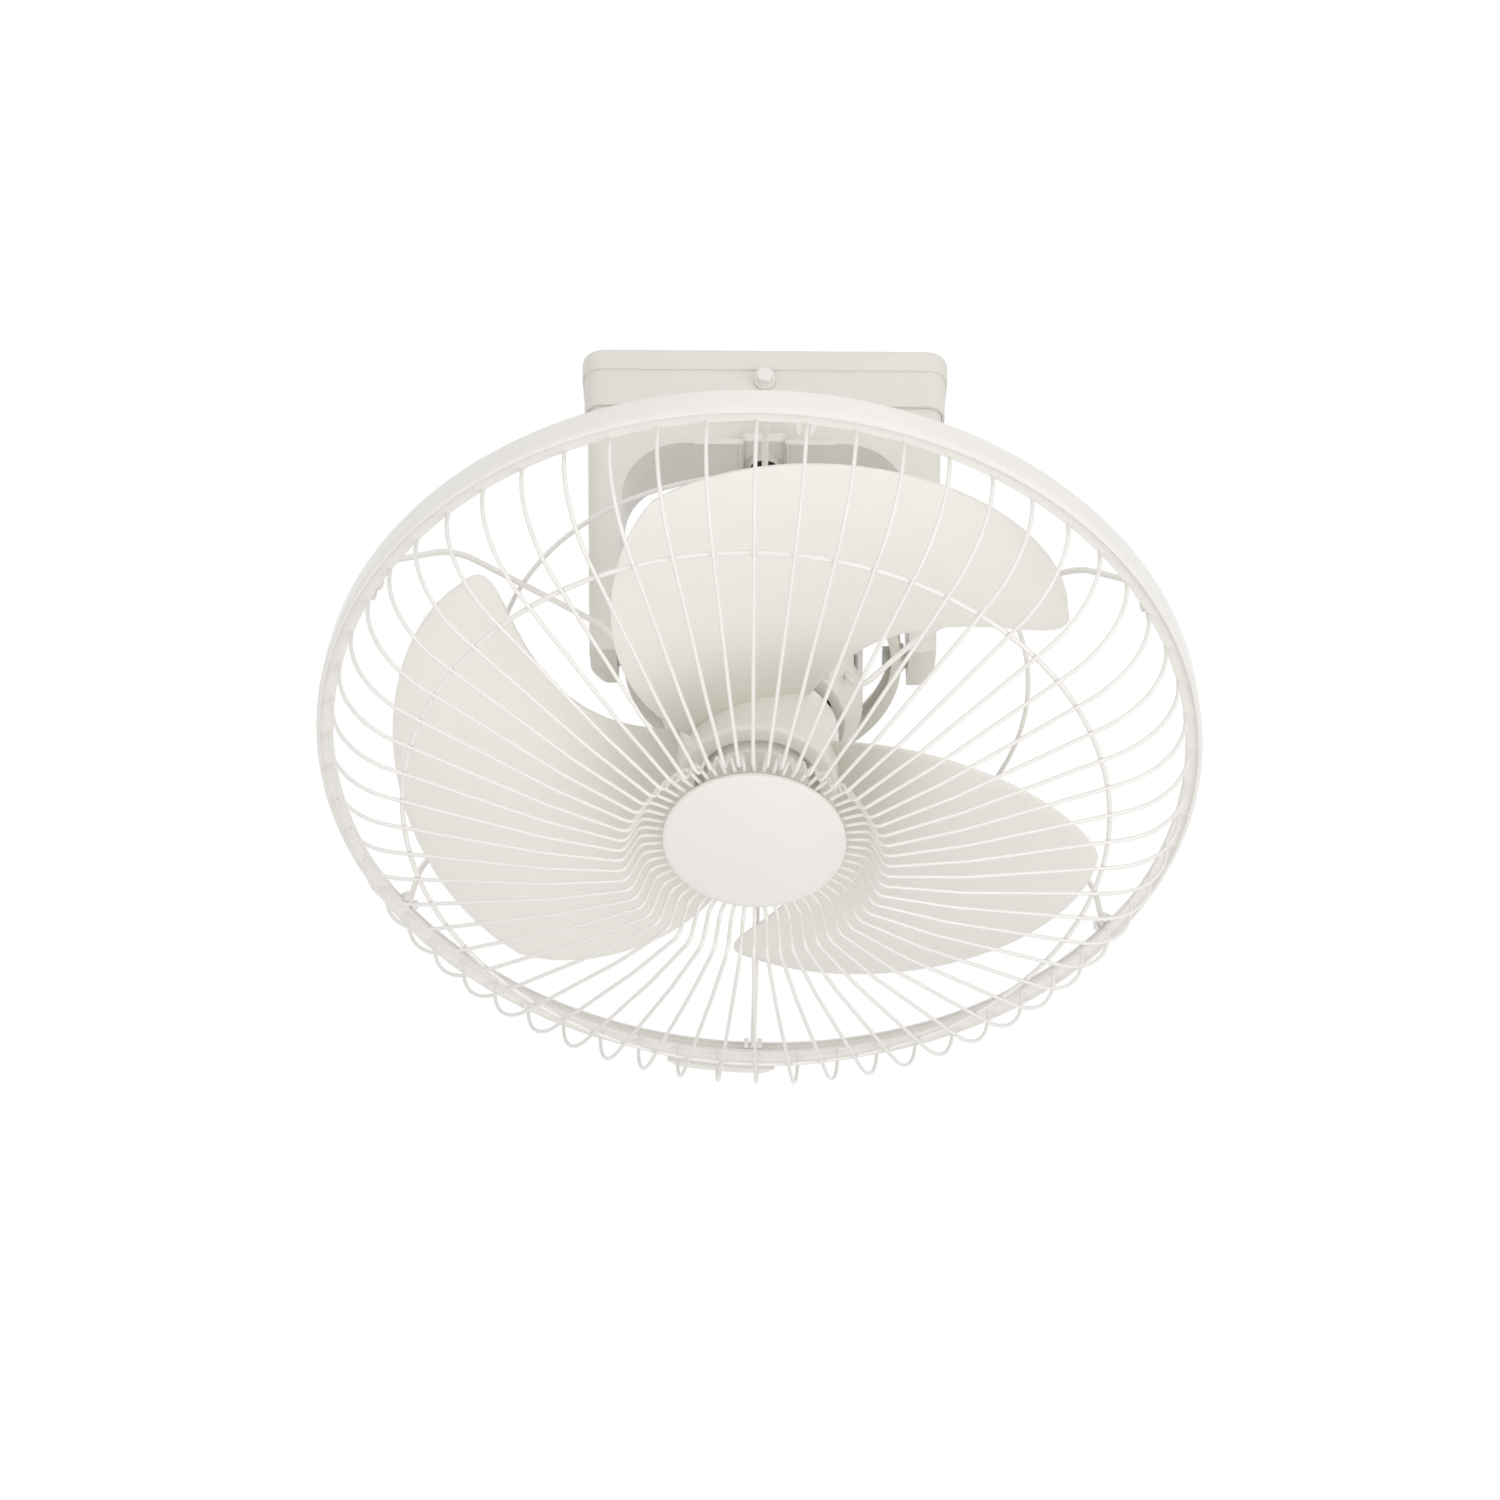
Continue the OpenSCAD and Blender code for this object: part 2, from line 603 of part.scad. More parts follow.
// ---- gimbal pieces ------------------------------------------------------------------------------
module gimbal_ring() {
    r_in = ring_r - ring_t;
    color(shade) ring_frame() difference() {
        union() {
            rotate_extrude($fn = 128) difference() {
                translate([r_in - ring_flange, -ring_h / 2]) square([ring_t + ring_flange, ring_h]);
                translate([r_in - ring_flange - 1, -ring_h / 2 + ring_t])
                    square([ring_flange + 1, ring_h - 2 * ring_t]);
            }
            for (a = [0 : 90 : 270]) rotate([0, 0, a]) x_rod(pad_in, pad_out, pad_r);
        }
        for (a = [0 : 90 : 270]) rotate([0, 0, a]) x_rod(pad_in - 5, pad_out + 5, bush_r);
    }
}

// One flanged bush along X; flange_out tells which side of the ring the flange lies on
module pivot_bush(flange_out) {
    difference() {
        union() {
            x_rod(pad_in, pad_out, bush_r);
            if (flange_out) x_rod(pad_out, pad_out + bush_flange, washer_r);
            else x_rod(pad_in - bush_flange, pad_in, washer_r);
        }
        x_rod(pad_in - 5, pad_out + 5, pivot_r + pivot_clear);
    }
}

module gimbal_bushes() {
    color(white) ring_frame() {
        for (a = [0, 180]) rotate([0, 0, a]) pivot_bush(true);
        for (a = [90, 270]) rotate([0, 0, a]) pivot_bush(false);
    }
}

// ---- motor pieces -------------------------------------------------------------------------------
// Outline of the motor housing, as radius and height
function motor_line(inset) = [[shell_r1 - inset * 0.6, -motor_front + inset],
    [motor_r - inset, shoulder_z + inset * 0.3], [motor_r - inset, motor_back - 8],
    [motor_r - 8 - inset * 0.4, motor_back - inset]];

module motor_front_shell() {
    boss_z = -motor_front - 9;
    outer = motor_line(0);
    inner = motor_line(motor_wall);
    color(shade) head_frame() difference() {
        union() {
            rotate_extrude() polygon([[bearing_r + 3, -motor_front], outer[0], outer[1],
                [motor_r, split_z], [motor_r - motor_wall, split_z], inner[1], inner[0],
                [bearing_r, -motor_front + motor_wall], [bearing_r, boss_z + 2],
                [shaft_r + 1.5, boss_z + 2], [shaft_r + 1.5, boss_z], [bearing_r + 3, boss_z]]);
            for (a = [45 : 90 : 315]) rotate([0, 0, a]) translate([post_x, 0, -motor_front + 1])
                cylinder(h = motor_front + split_z - 1, r = post_r, $fn = 32);
        }
        spoke_sockets();
        for (k = [0 : 90 : 270], a = [22.5, 45, 67.5]) rotate([0, 0, 45 + k + a]) {
            translate([shell_r1 - 12, -vent_w / 2, -motor_front - 1]) cube([6, vent_w, 6]);
            translate([motor_r - 6, -vent_w / 2, -38]) cube([12, vent_w, 16]);
        }
        for (a = [45 : 90 : 315]) rotate([0, 0, a]) translate([post_x, 0, -40])
            cylinder(h = 60, r = 1.8, $fn = 32);
    }
}

module motor_rear_shell() {
    outer = motor_line(0);
    inner = motor_line(motor_wall);
    z0 = split_z + seat_gap;
    color(shade) head_frame() difference() {
        union() {
            rotate_extrude() polygon([[0, motor_back], outer[3], outer[2], [motor_r, z0],
                [motor_r - motor_wall, z0], inner[2], inner[3],
                [bearing_r + 3, motor_back - motor_wall], [bearing_r + 3, motor_back - bearing_h - 5],
                [bearing_r, motor_back - bearing_h - 5], [bearing_r, motor_back - motor_wall],
                [0, motor_back - motor_wall]]);
            for (a = [90, 270]) rotate([0, 0, a]) x_rod(motor_r - 1.5, motor_boss_end, 7.5);
            for (a = [45 : 90 : 315]) rotate([0, 0, a]) translate([post_x, 0, z0])
                cylinder(h = motor_back - 1 - z0, r = post_r, $fn = 32);
        }
        for (a = [90, 270]) rotate([0, 0, a]) x_rod(motor_r - 6, motor_boss_end + 1, pivot_r);
        for (a = [45 : 90 : 315]) rotate([0, 0, a]) translate([post_x, 0, -20])
            cylinder(h = 100, r = 1.8, $fn = 32);
        for (k = [0 : 90 : 270], a = [22.5, 45, 67.5]) rotate([0, 0, 45 + k + a])
            translate([motor_r - 6, -vent_w / 2, 13]) cube([12, vent_w, 11]);
    }
}

module motor_screws() {
    color(steel) head_frame() for (a = [45 : 90 : 315]) rotate([0, 0, a]) translate([post_x, 0, 0]) {
        translate([0, 0, -38]) cylinder(h = 38 + motor_back, r = 1.7, $fn = 32);
        translate([0, 0, motor_back]) cylinder(h = 2.2, r = 3.2, $fn = 6);
    }
}

module motor_pivot_bolts() {
    color(steel) head_frame() for (a = [90, 270]) rotate([0, 0, a]) {
        x_rod(motor_r - 1, pad_out + washer_t + 2 * seat_gap + 0.1, pivot_r - 0.02);
        translate([pad_out + washer_t + 2 * seat_gap, 0, 0]) rotate([0, 90, 0]) rotate([0, 0, 30])
            hex(nut_af, head_h);
    }
}

module stator_core() {
    color(steel) head_frame() translate([0, 0, stack_z]) linear_extrude(height = stack_h) difference() {
        circle(r = stator_r);
        circle(r = bore_r);
        for (i = [0 : stator_slots - 1]) rotate(i * 360 / stator_slots) {
            translate([bore_r - 1, -1.5]) square([6, 3]);
            translate([bore_r + 3, -5]) square([11, 10]);
        }
    }
}

// Coils: one block on each tooth, standing out of both ends of the stack
module stator_coils() {
    step = 360 / stator_slots;
    color(copper) head_frame() for (i = [0 : stator_slots - 1]) rotate([0, 0, (i + 0.5) * step])
        for (z = [stack_z - 6.3, stack_z + stack_h + 0.3]) translate([bore_r + 4, -9, z])
            cube([10, 18, 6]);
}

module front_bearing() {
    color(brass) head_frame()
        tube(-motor_front - 6.9, -motor_front - 6.9 + bearing_h, bearing_r - 0.05, shaft_r + shaft_clear);
}

module rear_bearing() {
    color(brass) head_frame()
        tube(motor_back - bearing_h - 4.5, motor_back - 4.5, bearing_r - 0.05, shaft_r + shaft_clear);
}

module rotor_core() {
    color(steel) head_frame() difference() {
        union() {
            translate([0, 0, stack_z]) cylinder(h = stack_h, r = rotor_r);
            for (z = [stack_z - 4, stack_z + stack_h - eps]) translate([0, 0, z])
                tube(0, 4 + eps, rotor_r - 1.5, rotor_r - 9);
        }
        translate([0, 0, stack_z - 5]) cylinder(h = stack_h + 10, r = shaft_r + 0.02);
    }
}

module motor_shaft() {
    color(steel) head_frame() difference() {
        translate([0, 0, shaft_front]) cylinder(h = shaft_back - shaft_front, r = shaft_r);
        translate([0, 0, -88]) x_rod(-10, 10, 1.55, 32);
    }
}

module hub_pin() {
    color(steel) head_frame() translate([0, 0, -88]) x_rod(-11, 11, 1.5, 32);
}

// ---- blades ---------------------------------------------------------------------------------------
// Directions are clockwise from the front as seen from below, and heights are before the rim plane.
// s runs from 0 at the root to 1 at the tip.
root_r = 46;
function lead_phi(s) = 39.1 - 34.6 * s + 156.8 * s * s - 93.8 * s * s * s;
function trail_phi(s) = -58 + 42.8 * s;
function lead_h(s) = -29.6 + 6.3 * s - 28.8 * s * s;
function trail_h(s) = -5 + 55.4 * s - 34.9 * s * s;
// The tip's rounding: radius shrinks towards the leading edge at the tip
function tip_cut(c) = 1 - 0.085 * pow(c, 3);

function blade_point(s, c, side) =
    let (phi = trail_phi(s) + (lead_phi(s) - trail_phi(s)) * c,
        r = root_r + (blade_r - root_r) * s * (1 - (1 - tip_cut(c)) * s * s)
            - 10 * pow(s, 8) * pow(1 - c, 8) - 13 * pow(s, 10) * pow(c, 6),
        bow = 7 * sin(180 * c) * (1 - 0.4 * s),
        h = trail_h(s) + (lead_h(s) - trail_h(s)) * c + bow + side * blade_t / 2,
        a = phi - 90)
    [r * cos(a), r * sin(a), h_z(h)];

// A closed skin over a grid of rows along the blade and columns across it
module blade() {
    rows = 14;
    cols = 9;
    n = cols + 1;
    front = [for (i = [0 : rows], j = [0 : cols]) blade_point(i / rows, j / cols, 1)];
    back = [for (i = [0 : rows], j = [0 : cols]) blade_point(i / rows, j / cols, -1)];
    m = len(front);
    face_front = [for (i = [0 : rows - 1], j = [0 : cols - 1])
        let (a = i * n + j) each [[a, a + n, a + 1], [a + 1, a + n, a + n + 1]]];
    face_back = [for (f = face_front) [f[2] + m, f[1] + m, f[0] + m]];
    loop = concat([for (j = [0 : cols]) j], [for (i = [1 : rows]) i * n + cols],
        [for (j = [cols - 1 : -1 : 0]) rows * n + j], [for (i = [rows - 1 : -1 : 1]) i * n]);
    k = len(loop);
    edge = [for (i = [0 : k - 1]) let (a = loop[i], b = loop[(i + 1) % k])
        each [[a, b, a + m], [b, b + m, a + m]]];
    polyhedron(points = concat(front, back), faces = concat(face_front, face_back, edge), convexity = 6);
}

module blade_hub() {
    z_back = h_z(-25);
    z_front = z_back - hub_len;
    difference() {
        rotate_extrude() polygon([[shaft_r + 0.03, z_front + 8], [spinner_r + 4, z_front + 8],
            [spinner_r + 5, z_front], [hub_r - 2.5, z_front], [hub_r, z_front + 2.5], [hub_r, z_back],
            [hub_r - 3, z_back], [hub_r - 3, z_front + 11], [12, z_front + 11], [12, z_back - 2],
            [shaft_r + 0.03, z_back - 2]]);
        translate([0, 0, -88]) x_rod(-11.2, 11.2, 1.6, 32);
    }
}

module blade_wheel() {
    color(white) head_frame() {
        blade_hub();
        for (i = [0 : blade_count - 1]) rotate([0, 0, blade_turn + i * 360 / blade_count]) blade();
    }
}

module spinner() {
    z0 = h_z(-25) - hub_len;
    color(shade) head_frame() difference() {
        union() {
            translate([0, 0, z0 - 1]) cylinder(h = 8.9, r1 = spinner_r - 1.5, r2 = spinner_r);
            translate([0, 0, z0 - 4]) cylinder(h = 4, r1 = 13, r2 = 15);
        }
        translate([0, 0, shaft_front - 0.2]) cylinder(h = 30, r = shaft_r + 0.05);
    }
}

// ---- swing drive ------------------------------------------------------------------------------------
// Involute gear outline: pressure angle 25 degrees, a little backlash
function involute(rb, t) = [rb * (cos(t) + t * PI / 180 * sin(t)), rb * (sin(t) - t * PI / 180 * cos(t))];
function roll(rb, r) = sqrt(pow(r / rb, 2) - 1) * 180 / PI;
function flank_angle(rb, r) = let (p = involute(rb, roll(rb, r))) atan2(p[1], p[0]);
module gear_outline(teeth, backlash) {
    rp = gear_m * teeth / 2;
    rb = rp * cos(25);
    rt = rp + 0.85 * gear_m;
    rr = rp - 1.15 * gear_m;
    half = 90 / teeth - backlash / rp * 90 / PI;
    radii = [for (i = [0 : 4]) max(rb, rr) + (rt - max(rb, rr)) * i / 4];
    off = half + flank_angle(rb, rp);
    polygon([for (k = [0 : teeth - 1]) let (mid = k * 360 / teeth)
        each concat([polar(rr, mid - off)],
            [for (r = radii) polar(r, mid - off + flank_angle(rb, r))],
            [for (i = [4 : -1 : 0]) polar(radii[i], mid + off - flank_angle(rb, radii[i]))],
            [polar(rr, mid + off)])]);
}

module gear_plate() {
    color(steel) head_frame() difference() {
        translate([0, 0, gear_plate_z]) cylinder(h = gear_plate_t, r = case_r);
        for (a = [45 : 90 : 315]) rotate([0, 0, a]) translate([case_r - 5, 0, gear_plate_z - 1])
            cylinder(h = 10, r = 1.7, $fn = 32);
    }
}

module swing_motor() {
    color(steel) head_frame() difference() {
        union() {
            translate([can_x, 0, can_z0 - 1]) cylinder(h = can_z1 - can_z0 + 1, r = can_r);
            translate([gear_distance, 0, can_z1 - eps]) cylinder(h = 2, r = 5, $fn = 48);
        }
        translate([gear_distance, 0, can_z1 - 6]) cylinder(h = 10, r = 2.55, $fn = 48);
    }
}

module swing_capacitor() {
    color(black) head_frame() translate([-24, -12, case_z]) {
        cube([14, 24, 17]);
    }
}

module gear_case() {
    color(shade) head_frame() difference() {
        union() {
            translate([0, 0, case_z]) cylinder(h = case_back - case_z, r = case_r);
            translate([0, 0, case_back - eps]) cylinder(h = case_end - case_back, r1 = case_r, r2 = case_r - 12);
            translate([0, 0, case_end - 1]) cylinder(h = 6, r = 13);
        }
        difference() {
            translate([0, 0, case_z - 1]) cylinder(h = case_back - case_wall - case_z + 1, r = case_r - case_wall);
            for (a = [45 : 90 : 315]) rotate([0, 0, a]) translate([case_r - 5, 0, case_z - 1])
                cylinder(h = case_back, r = 3.6, $fn = 32);
        }
        translate([0, 0, case_z - 1]) cylinder(h = 100, r = crank_shaft_r + 2.5, $fn = 64);
        for (a = [45 : 90 : 315]) rotate([0, 0, a]) translate([case_r - 5, 0, case_z - 1])
            cylinder(h = 22, r = 1.7, $fn = 32);
    }
}

module gear_case_screws() {
    color(steel) head_frame() for (a = [45 : 90 : 315]) rotate([0, 0, a])
        translate([case_r - 5, 0, gear_plate_z]) cylinder(h = 20, r = 1.6, $fn = 32);
}

module swing_pinion() {
    color(brass) head_frame() translate([gear_distance, 0, 0]) {
        translate([0, 0, gear_z]) linear_extrude(height = gear_t)
            rotate(180 / pinion_teeth) gear_outline(pinion_teeth, 0.12);
        translate([0, 0, can_z1 - 5]) cylinder(h = gear_z + gear_t + 4 - can_z1 + 5, r = 2.5, $fn = 48);
        translate([0, 0, can_z1 + 2.2]) cylinder(h = gear_z - can_z1 - 2.2 + eps, r = 5, $fn = 48);
    }
}

module swing_gear() {
    color(white) head_frame() difference() {
        union() {
            translate([0, 0, gear_z]) linear_extrude(height = gear_t) gear_outline(gear_teeth, 0.12);
            translate([0, 0, gear_z - gear_boss_h])
                cylinder(h = gear_t + 2 * gear_boss_h, r = gear_boss_r, $fn = 64);
        }
        translate([0, 0, gear_z - gear_boss_h - 1])
            cylinder(h = gear_t + 2 * gear_boss_h + 2, r = crank_shaft_r + 0.02);
        for (a = [30 : 60 : 330]) rotate([0, 0, a]) translate([gear_hole_x, 0, gear_z - 1])
            cylinder(h = gear_t + 2, r = gear_hole_r, $fn = 32);
    }
}

module crank_shaft() {
    color(steel) crank_frame() {
        translate([0, 0, gear_z - gear_boss_h - 1])
            cylinder(h = crank_z + crank_t + gear_boss_h + 5 - gear_z, r = crank_shaft_r);
    }
}

module crank_bush() {
    color(brass) head_frame()
        tube(case_back - 8, case_end + bush_out, crank_shaft_r + 2.45, crank_shaft_r + shaft_clear);
}

module crank_arm() {
    color(steel) crank_frame() difference() {
        union() {
            translate([0, 0, crank_z]) linear_extrude(height = crank_t) hull() {
                circle(r = crank_hub_r, $fn = 48);
                translate([0, -crank_throw]) circle(r = crank_tip_r, $fn = 48);
            }
            translate([0, 0, case_end + bush_out + 0.3])
                cylinder(h = crank_z - case_end - bush_out - 0.3 + eps, r = crank_collar_r, $fn = 64);
        }
        translate([0, 0, case_end])
            cylinder(h = crank_z + crank_t - case_end + 1, r = crank_shaft_r + 0.02);
        translate([0, -crank_throw, crank_z - 1])
            cylinder(h = crank_t + 2, r = crank_stud_r + 0.05, $fn = 48);
    }
}

module crank_ball() {
    color(steel) crank_frame() translate([0, -crank_throw, 0]) {
        translate([0, 0, crank_z - 2]) cylinder(h = ball_z - crank_z, r = crank_stud_r, $fn = 48);
        translate([0, 0, crank_z + crank_t]) cylinder(h = 3, r = 5.5, $fn = 48);
        translate([0, 0, ball_z]) sphere(r = ball_r, $fn = 64);
    }
}

module crank_nut() {
    color(steel) crank_frame() translate([0, -crank_throw, crank_z - 3.5]) difference() {
        hex(9, 3.5);
        translate([0, 0, -1]) cylinder(h = 6, r = crank_stud_r + 0.05, $fn = 48);
    }
}

// ---- guard ------------------------------------------------------------------------------------------
module rim_band() {
    r_in = rim_r - rim_wall;
    color(white) head_frame() rotate_extrude($fn = 180) polygon([[wire_circle - 4, -rim_plane],
        [wire_circle + 4, -rim_plane], [rim_r - 3, h_z(rim_front)], [rim_r - 1, h_z(rim_front - 0.6)],
        [rim_r, h_z(rim_front - 2.6)], [rim_r, h_z(-rim_depth)], [r_in, h_z(-rim_depth)],
        [r_in, h_z(-5)], [r_in - 2.5, h_z(-rim_wall - 1)], [wire_circle - 4, h_z(-rim_wall - 1)]]);
}

front_wire = [[wire_circle, 0, 0], [wire_circle, front_wire_h(wire_circle), bowl_r],
    [dome_bend_r, dome_bend_h, 60], [crest_r, crest_h, 6], [dip_r, plate_wire_h, 6],
    [wire_in_r, plate_wire_h, 0]];

module front_guard_wires() {
    color(white) head_frame() for (i = [0 : wire_count - 1]) radial(guard_turn + i * 360 / wire_count)
        wire_path(front_wire, wire_r);
}

// Height of the straight part of the front wires at radius r
function front_wire_h(r) = shoulder_h + wire_rise * (shoulder_r - r);

// Sine of the front wires' slope at radius r, and their height there, also inside the rim bend
function wire_slope(r) = max(cos(bowl_turn), (r - wire_circle + bowl_r) / bowl_r);
function wire_height(r) = let (middle = front_wire_h(wire_circle) - bowl_r * tan(bowl_turn / 2))
    wire_slope(r) > cos(bowl_turn) ? middle + bowl_r * sqrt(1 - pow(wire_slope(r), 2)) : front_wire_h(r);

// A torus before the rim plane
module wire_ring(r, h, wr) {
    translate([0, 0, h_z(h)]) rotate_extrude($fn = 128) translate([r, 0]) circle(r = wr, $fn = 24);
}

module front_support_ring() {
    color(white) head_frame()
        wire_ring(support_ring_r, wire_height(support_ring_r)
            - (wire_r + ring_wire_r + 0.04) / sqrt(1 - pow(wire_slope(support_ring_r), 2)), ring_wire_r);
}

module guard_plate() {
    h0 = plate_wire_h - wire_r - 0.1;
    color(white) head_frame() difference() {
        translate([0, 0, h_z(h0)]) cylinder(h = guard_plate_t, r = guard_plate_r);
        translate([0, 0, h_z(h0) - 1]) cylinder(h = guard_plate_t + 2, r = 2.2, $fn = 48);
    }
}

module guard_cap() {
    dome_r = (cap_r * cap_r + cap_dome * cap_dome) / (2 * cap_dome);
    dome = [for (i = [0 : 8]) let (x = cap_r * i / 8) [x, dome_r - cap_dome - sqrt(dome_r * dome_r - x * x)]];
    seat = cap_edge_h - plate_wire_h + wire_r + 0.05;
    color(white) head_frame() translate([0, 0, h_z(cap_edge_h)]) difference() {
        rotate_extrude($fn = 128) polygon(concat(dome, [[cap_r, 3], [cap_r - 2.5, 3], [cap_r - 3.5, 1.5],
            [cap_boss_r, 1.5], [cap_boss_r, seat], [0, seat]]));
        translate([0, 0, 2]) cylinder(h = 20, r = 1.9, $fn = 48);
    }
}

module cap_screw() {
    z = h_z(plate_wire_h - wire_r - 0.1) + guard_plate_t;
    color(steel) head_frame() {
        translate([0, 0, z]) cylinder(h = 2.5, r = 4, $fn = 48);
        translate([0, 0, z - cap_screw_len]) cylinder(h = cap_screw_len + eps, r = 1.8, $fn = 48);
    }
}

rear_spoke = [[wire_circle - 1, -rim_wall - 1.3, 0], [wire_circle - 4, -46, 20],
    [wire_circle - 50, -spoke_depth, 32], [spoke_knee_r, -spoke_knee, 14], [spoke_dive_r, -spoke_dive, 9],
    [spoke_end_r, -spoke_end, 0]];

// Height of the long straight part of the rear spokes at radius r
function spoke_h(r) = -spoke_depth
    + (spoke_depth - spoke_knee) * (rear_spoke[2][0] - r) / (rear_spoke[2][0] - spoke_knee_r);

module rear_guard_spokes() {
    color(white) head_frame() for (i = [0 : spoke_count - 1])
        radial(spoke_turn + i * 360 / spoke_count) wire_path(rear_spoke, spoke_r);
}

// Holes in the motor housing for the ends of the rear spokes
module spoke_sockets() {
    a = point2(rear_spoke[4]);
    d = unit(point2(rear_spoke[5]) - a);
    for (i = [0 : spoke_count - 1]) radial(spoke_turn + i * 360 / spoke_count)
        translate([a[0], a[1], 0]) rotate([0, 0, atan2(d[1], d[0])]) rotate([0, 90, 0])
        translate([0, 0, spoke_seat])
        cylinder(h = norm(point2(rear_spoke[5]) - a) - spoke_seat + 1, r = spoke_r + 0.1, $fn = 32);
}

module rear_guard_ring() {
    color(white) head_frame()
        wire_ring(rear_ring_r, spoke_h(rear_ring_r) - spoke_r - ring_wire_r - 0.15, ring_wire_r);
}

// Clips that hold the rear spokes behind the rim's flange
module rim_clips() {
    color(white) head_frame() for (i = [0 : spoke_count - 1])
        rotate([0, 0, spoke_turn + i * 360 / spoke_count - 90]) for (s = [-1, 1])
            translate([wire_circle - 4, s * 4.5 - 1.5, h_z(-rim_wall - 1)]) cube([6, 3, 6]);
}

module rim_latch() {
    color(white) head_frame() rotate([0, 0, 90]) translate([0, 0, h_z(-rim_depth + 1)])
        rotate([0, 0, -7]) rotate_extrude(angle = 14, $fn = 180) translate([rim_r + 0.1, 0])
        square([3, rim_depth - 3]);
}

mounting_plate();
cable_grommet();
frame_strap();
yoke_front_cover();
yoke_rear_cover();
canopy_cover();
cover_knob();
knob_nut();
plate_screws();
terminal_block();
orbit_socket_holder();
orbit_socket();
leg_pivot_bolts();
leg_pivot_nuts();
leg_pivot_washers();
gimbal_ring();
gimbal_bushes();
motor_front_shell();
motor_rear_shell();
motor_screws();
motor_pivot_bolts();
stator_core();
stator_coils();
front_bearing();
rear_bearing();
rotor_core();
motor_shaft();
blade_wheel();
spinner();
hub_pin();
gear_plate();
swing_motor();
swing_capacitor();
gear_case();
gear_case_screws();
swing_pinion();
swing_gear();
crank_shaft();
crank_bush();
crank_arm();
crank_ball();
crank_nut();
rim_band();
front_guard_wires();
front_support_ring();
guard_plate();
guard_cap();
cap_screw();
rear_guard_spokes();
rear_guard_ring();
rim_clips();
rim_latch();
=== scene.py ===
"""Looks of an orbital ceiling fan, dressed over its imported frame.

Each sub-assembly of the fan is a class: the base under the ceiling, the gimbal, the motor with its swing
drive, the blade wheel and the wire guard. The fan head is built in its own axes (Z runs back along the motor
shaft, the gimbal centre is the origin) and then laid into the frame at its rest tilt.
"""

import logging
import math
from dataclasses import dataclass
from enum import Enum

import bmesh
import bpy
from mathutils import Euler, Matrix, Vector


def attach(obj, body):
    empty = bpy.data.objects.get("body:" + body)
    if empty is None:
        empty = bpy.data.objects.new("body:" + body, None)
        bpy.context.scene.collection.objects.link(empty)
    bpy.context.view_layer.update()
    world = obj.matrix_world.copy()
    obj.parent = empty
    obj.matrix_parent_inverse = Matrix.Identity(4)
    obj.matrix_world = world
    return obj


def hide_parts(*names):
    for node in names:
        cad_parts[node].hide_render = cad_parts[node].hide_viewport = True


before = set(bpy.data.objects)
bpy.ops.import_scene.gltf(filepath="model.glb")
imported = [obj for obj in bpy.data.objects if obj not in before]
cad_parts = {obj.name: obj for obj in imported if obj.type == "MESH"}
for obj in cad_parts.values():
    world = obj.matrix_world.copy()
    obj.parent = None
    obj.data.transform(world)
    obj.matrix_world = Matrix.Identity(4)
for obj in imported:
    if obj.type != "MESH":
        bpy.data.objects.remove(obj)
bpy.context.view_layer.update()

Triple = tuple[float, float, float]
Outline = list[tuple[float, float]]

LOG = logging.getLogger("fan")
MM = 0.001
ORIGIN = (0.0, 0.0, 0.0)
UP = (0.0, 0.0, 1.0)

# How close points are merged, in millimetres, on new forms and on copies of CAD nodes, and the angle between
# faces under which an edge of such a copy is dissolved.
JOIN = 1e-4
CAD_JOIN = 1e-3
CAD_FLAT = math.radians(1.0)

# The gimbal centre's depth under the ceiling, in millimetres, the head's tilt from straight down at rest,
# and how far that tilt is turned round its orbit, in degrees. They give the lean of the ring and of the head
# in the ring.
GIMBAL_DROP = 220.0
TILT = 19.0
ORBIT_TURN = 4.2
HEAD_LEAN = math.asin(math.sin(math.radians(TILT)) * math.sin(math.radians(ORBIT_TURN)))
RING_LEAN = math.acos(math.cos(math.radians(TILT)) / math.cos(HEAD_LEAN))
RING = Matrix.Translation((0.0, 0.0, -GIMBAL_DROP * MM)) @ Matrix.Rotation(-RING_LEAN, 4, "X")
HEAD = RING @ Matrix.Rotation(HEAD_LEAN, 4, "Y")

# The rim plane's distance before the gimbal centre, in millimetres, and the turns of the front wires, the
# rear spokes and the blades round the shaft, in degrees.
RIM_PLANE = 107.5
GUARD_TURN = -0.4
SPOKE_TURN = 0.4
BLADE_TURN = -0.4

# Angles between faces, in degrees. Past the first three an edge of a housing, of a small part or of a blade
# is rounded. Past the last two an edge of a piece, or of a wire or blade, is shaded sharp.
HOUSING_ROUND_PAST = 40.0
SMALL_ROUND_PAST = 28.0
BLADE_ROUND_PAST = 50.0
SHARP_PAST = 35.0
THIN_SHARP_PAST = 60.0

# The sockets of a Mix node that mixes colours.
MIX_FACTOR, MIX_FIRST, MIX_SECOND, MIX_COLOUR = 0, 6, 7, 2


class Body(str, Enum):
    """The rigid bodies that carry pieces of their own, by their names in the frame."""

    CEILING = "ceiling"
    KNOB = "knob"
    GIMBAL = "gimbal"
    HEAD = "head"
    ROTOR = "rotor"


class Gloss(Enum):
    """How shiny a finish is: mean roughness and coat weight."""

    MATT = (0.62, 0.0)
    SATIN = (0.42, 0.12)
    GLOSSY = (0.26, 0.35)
    POLISHED = (0.18, 0.0)


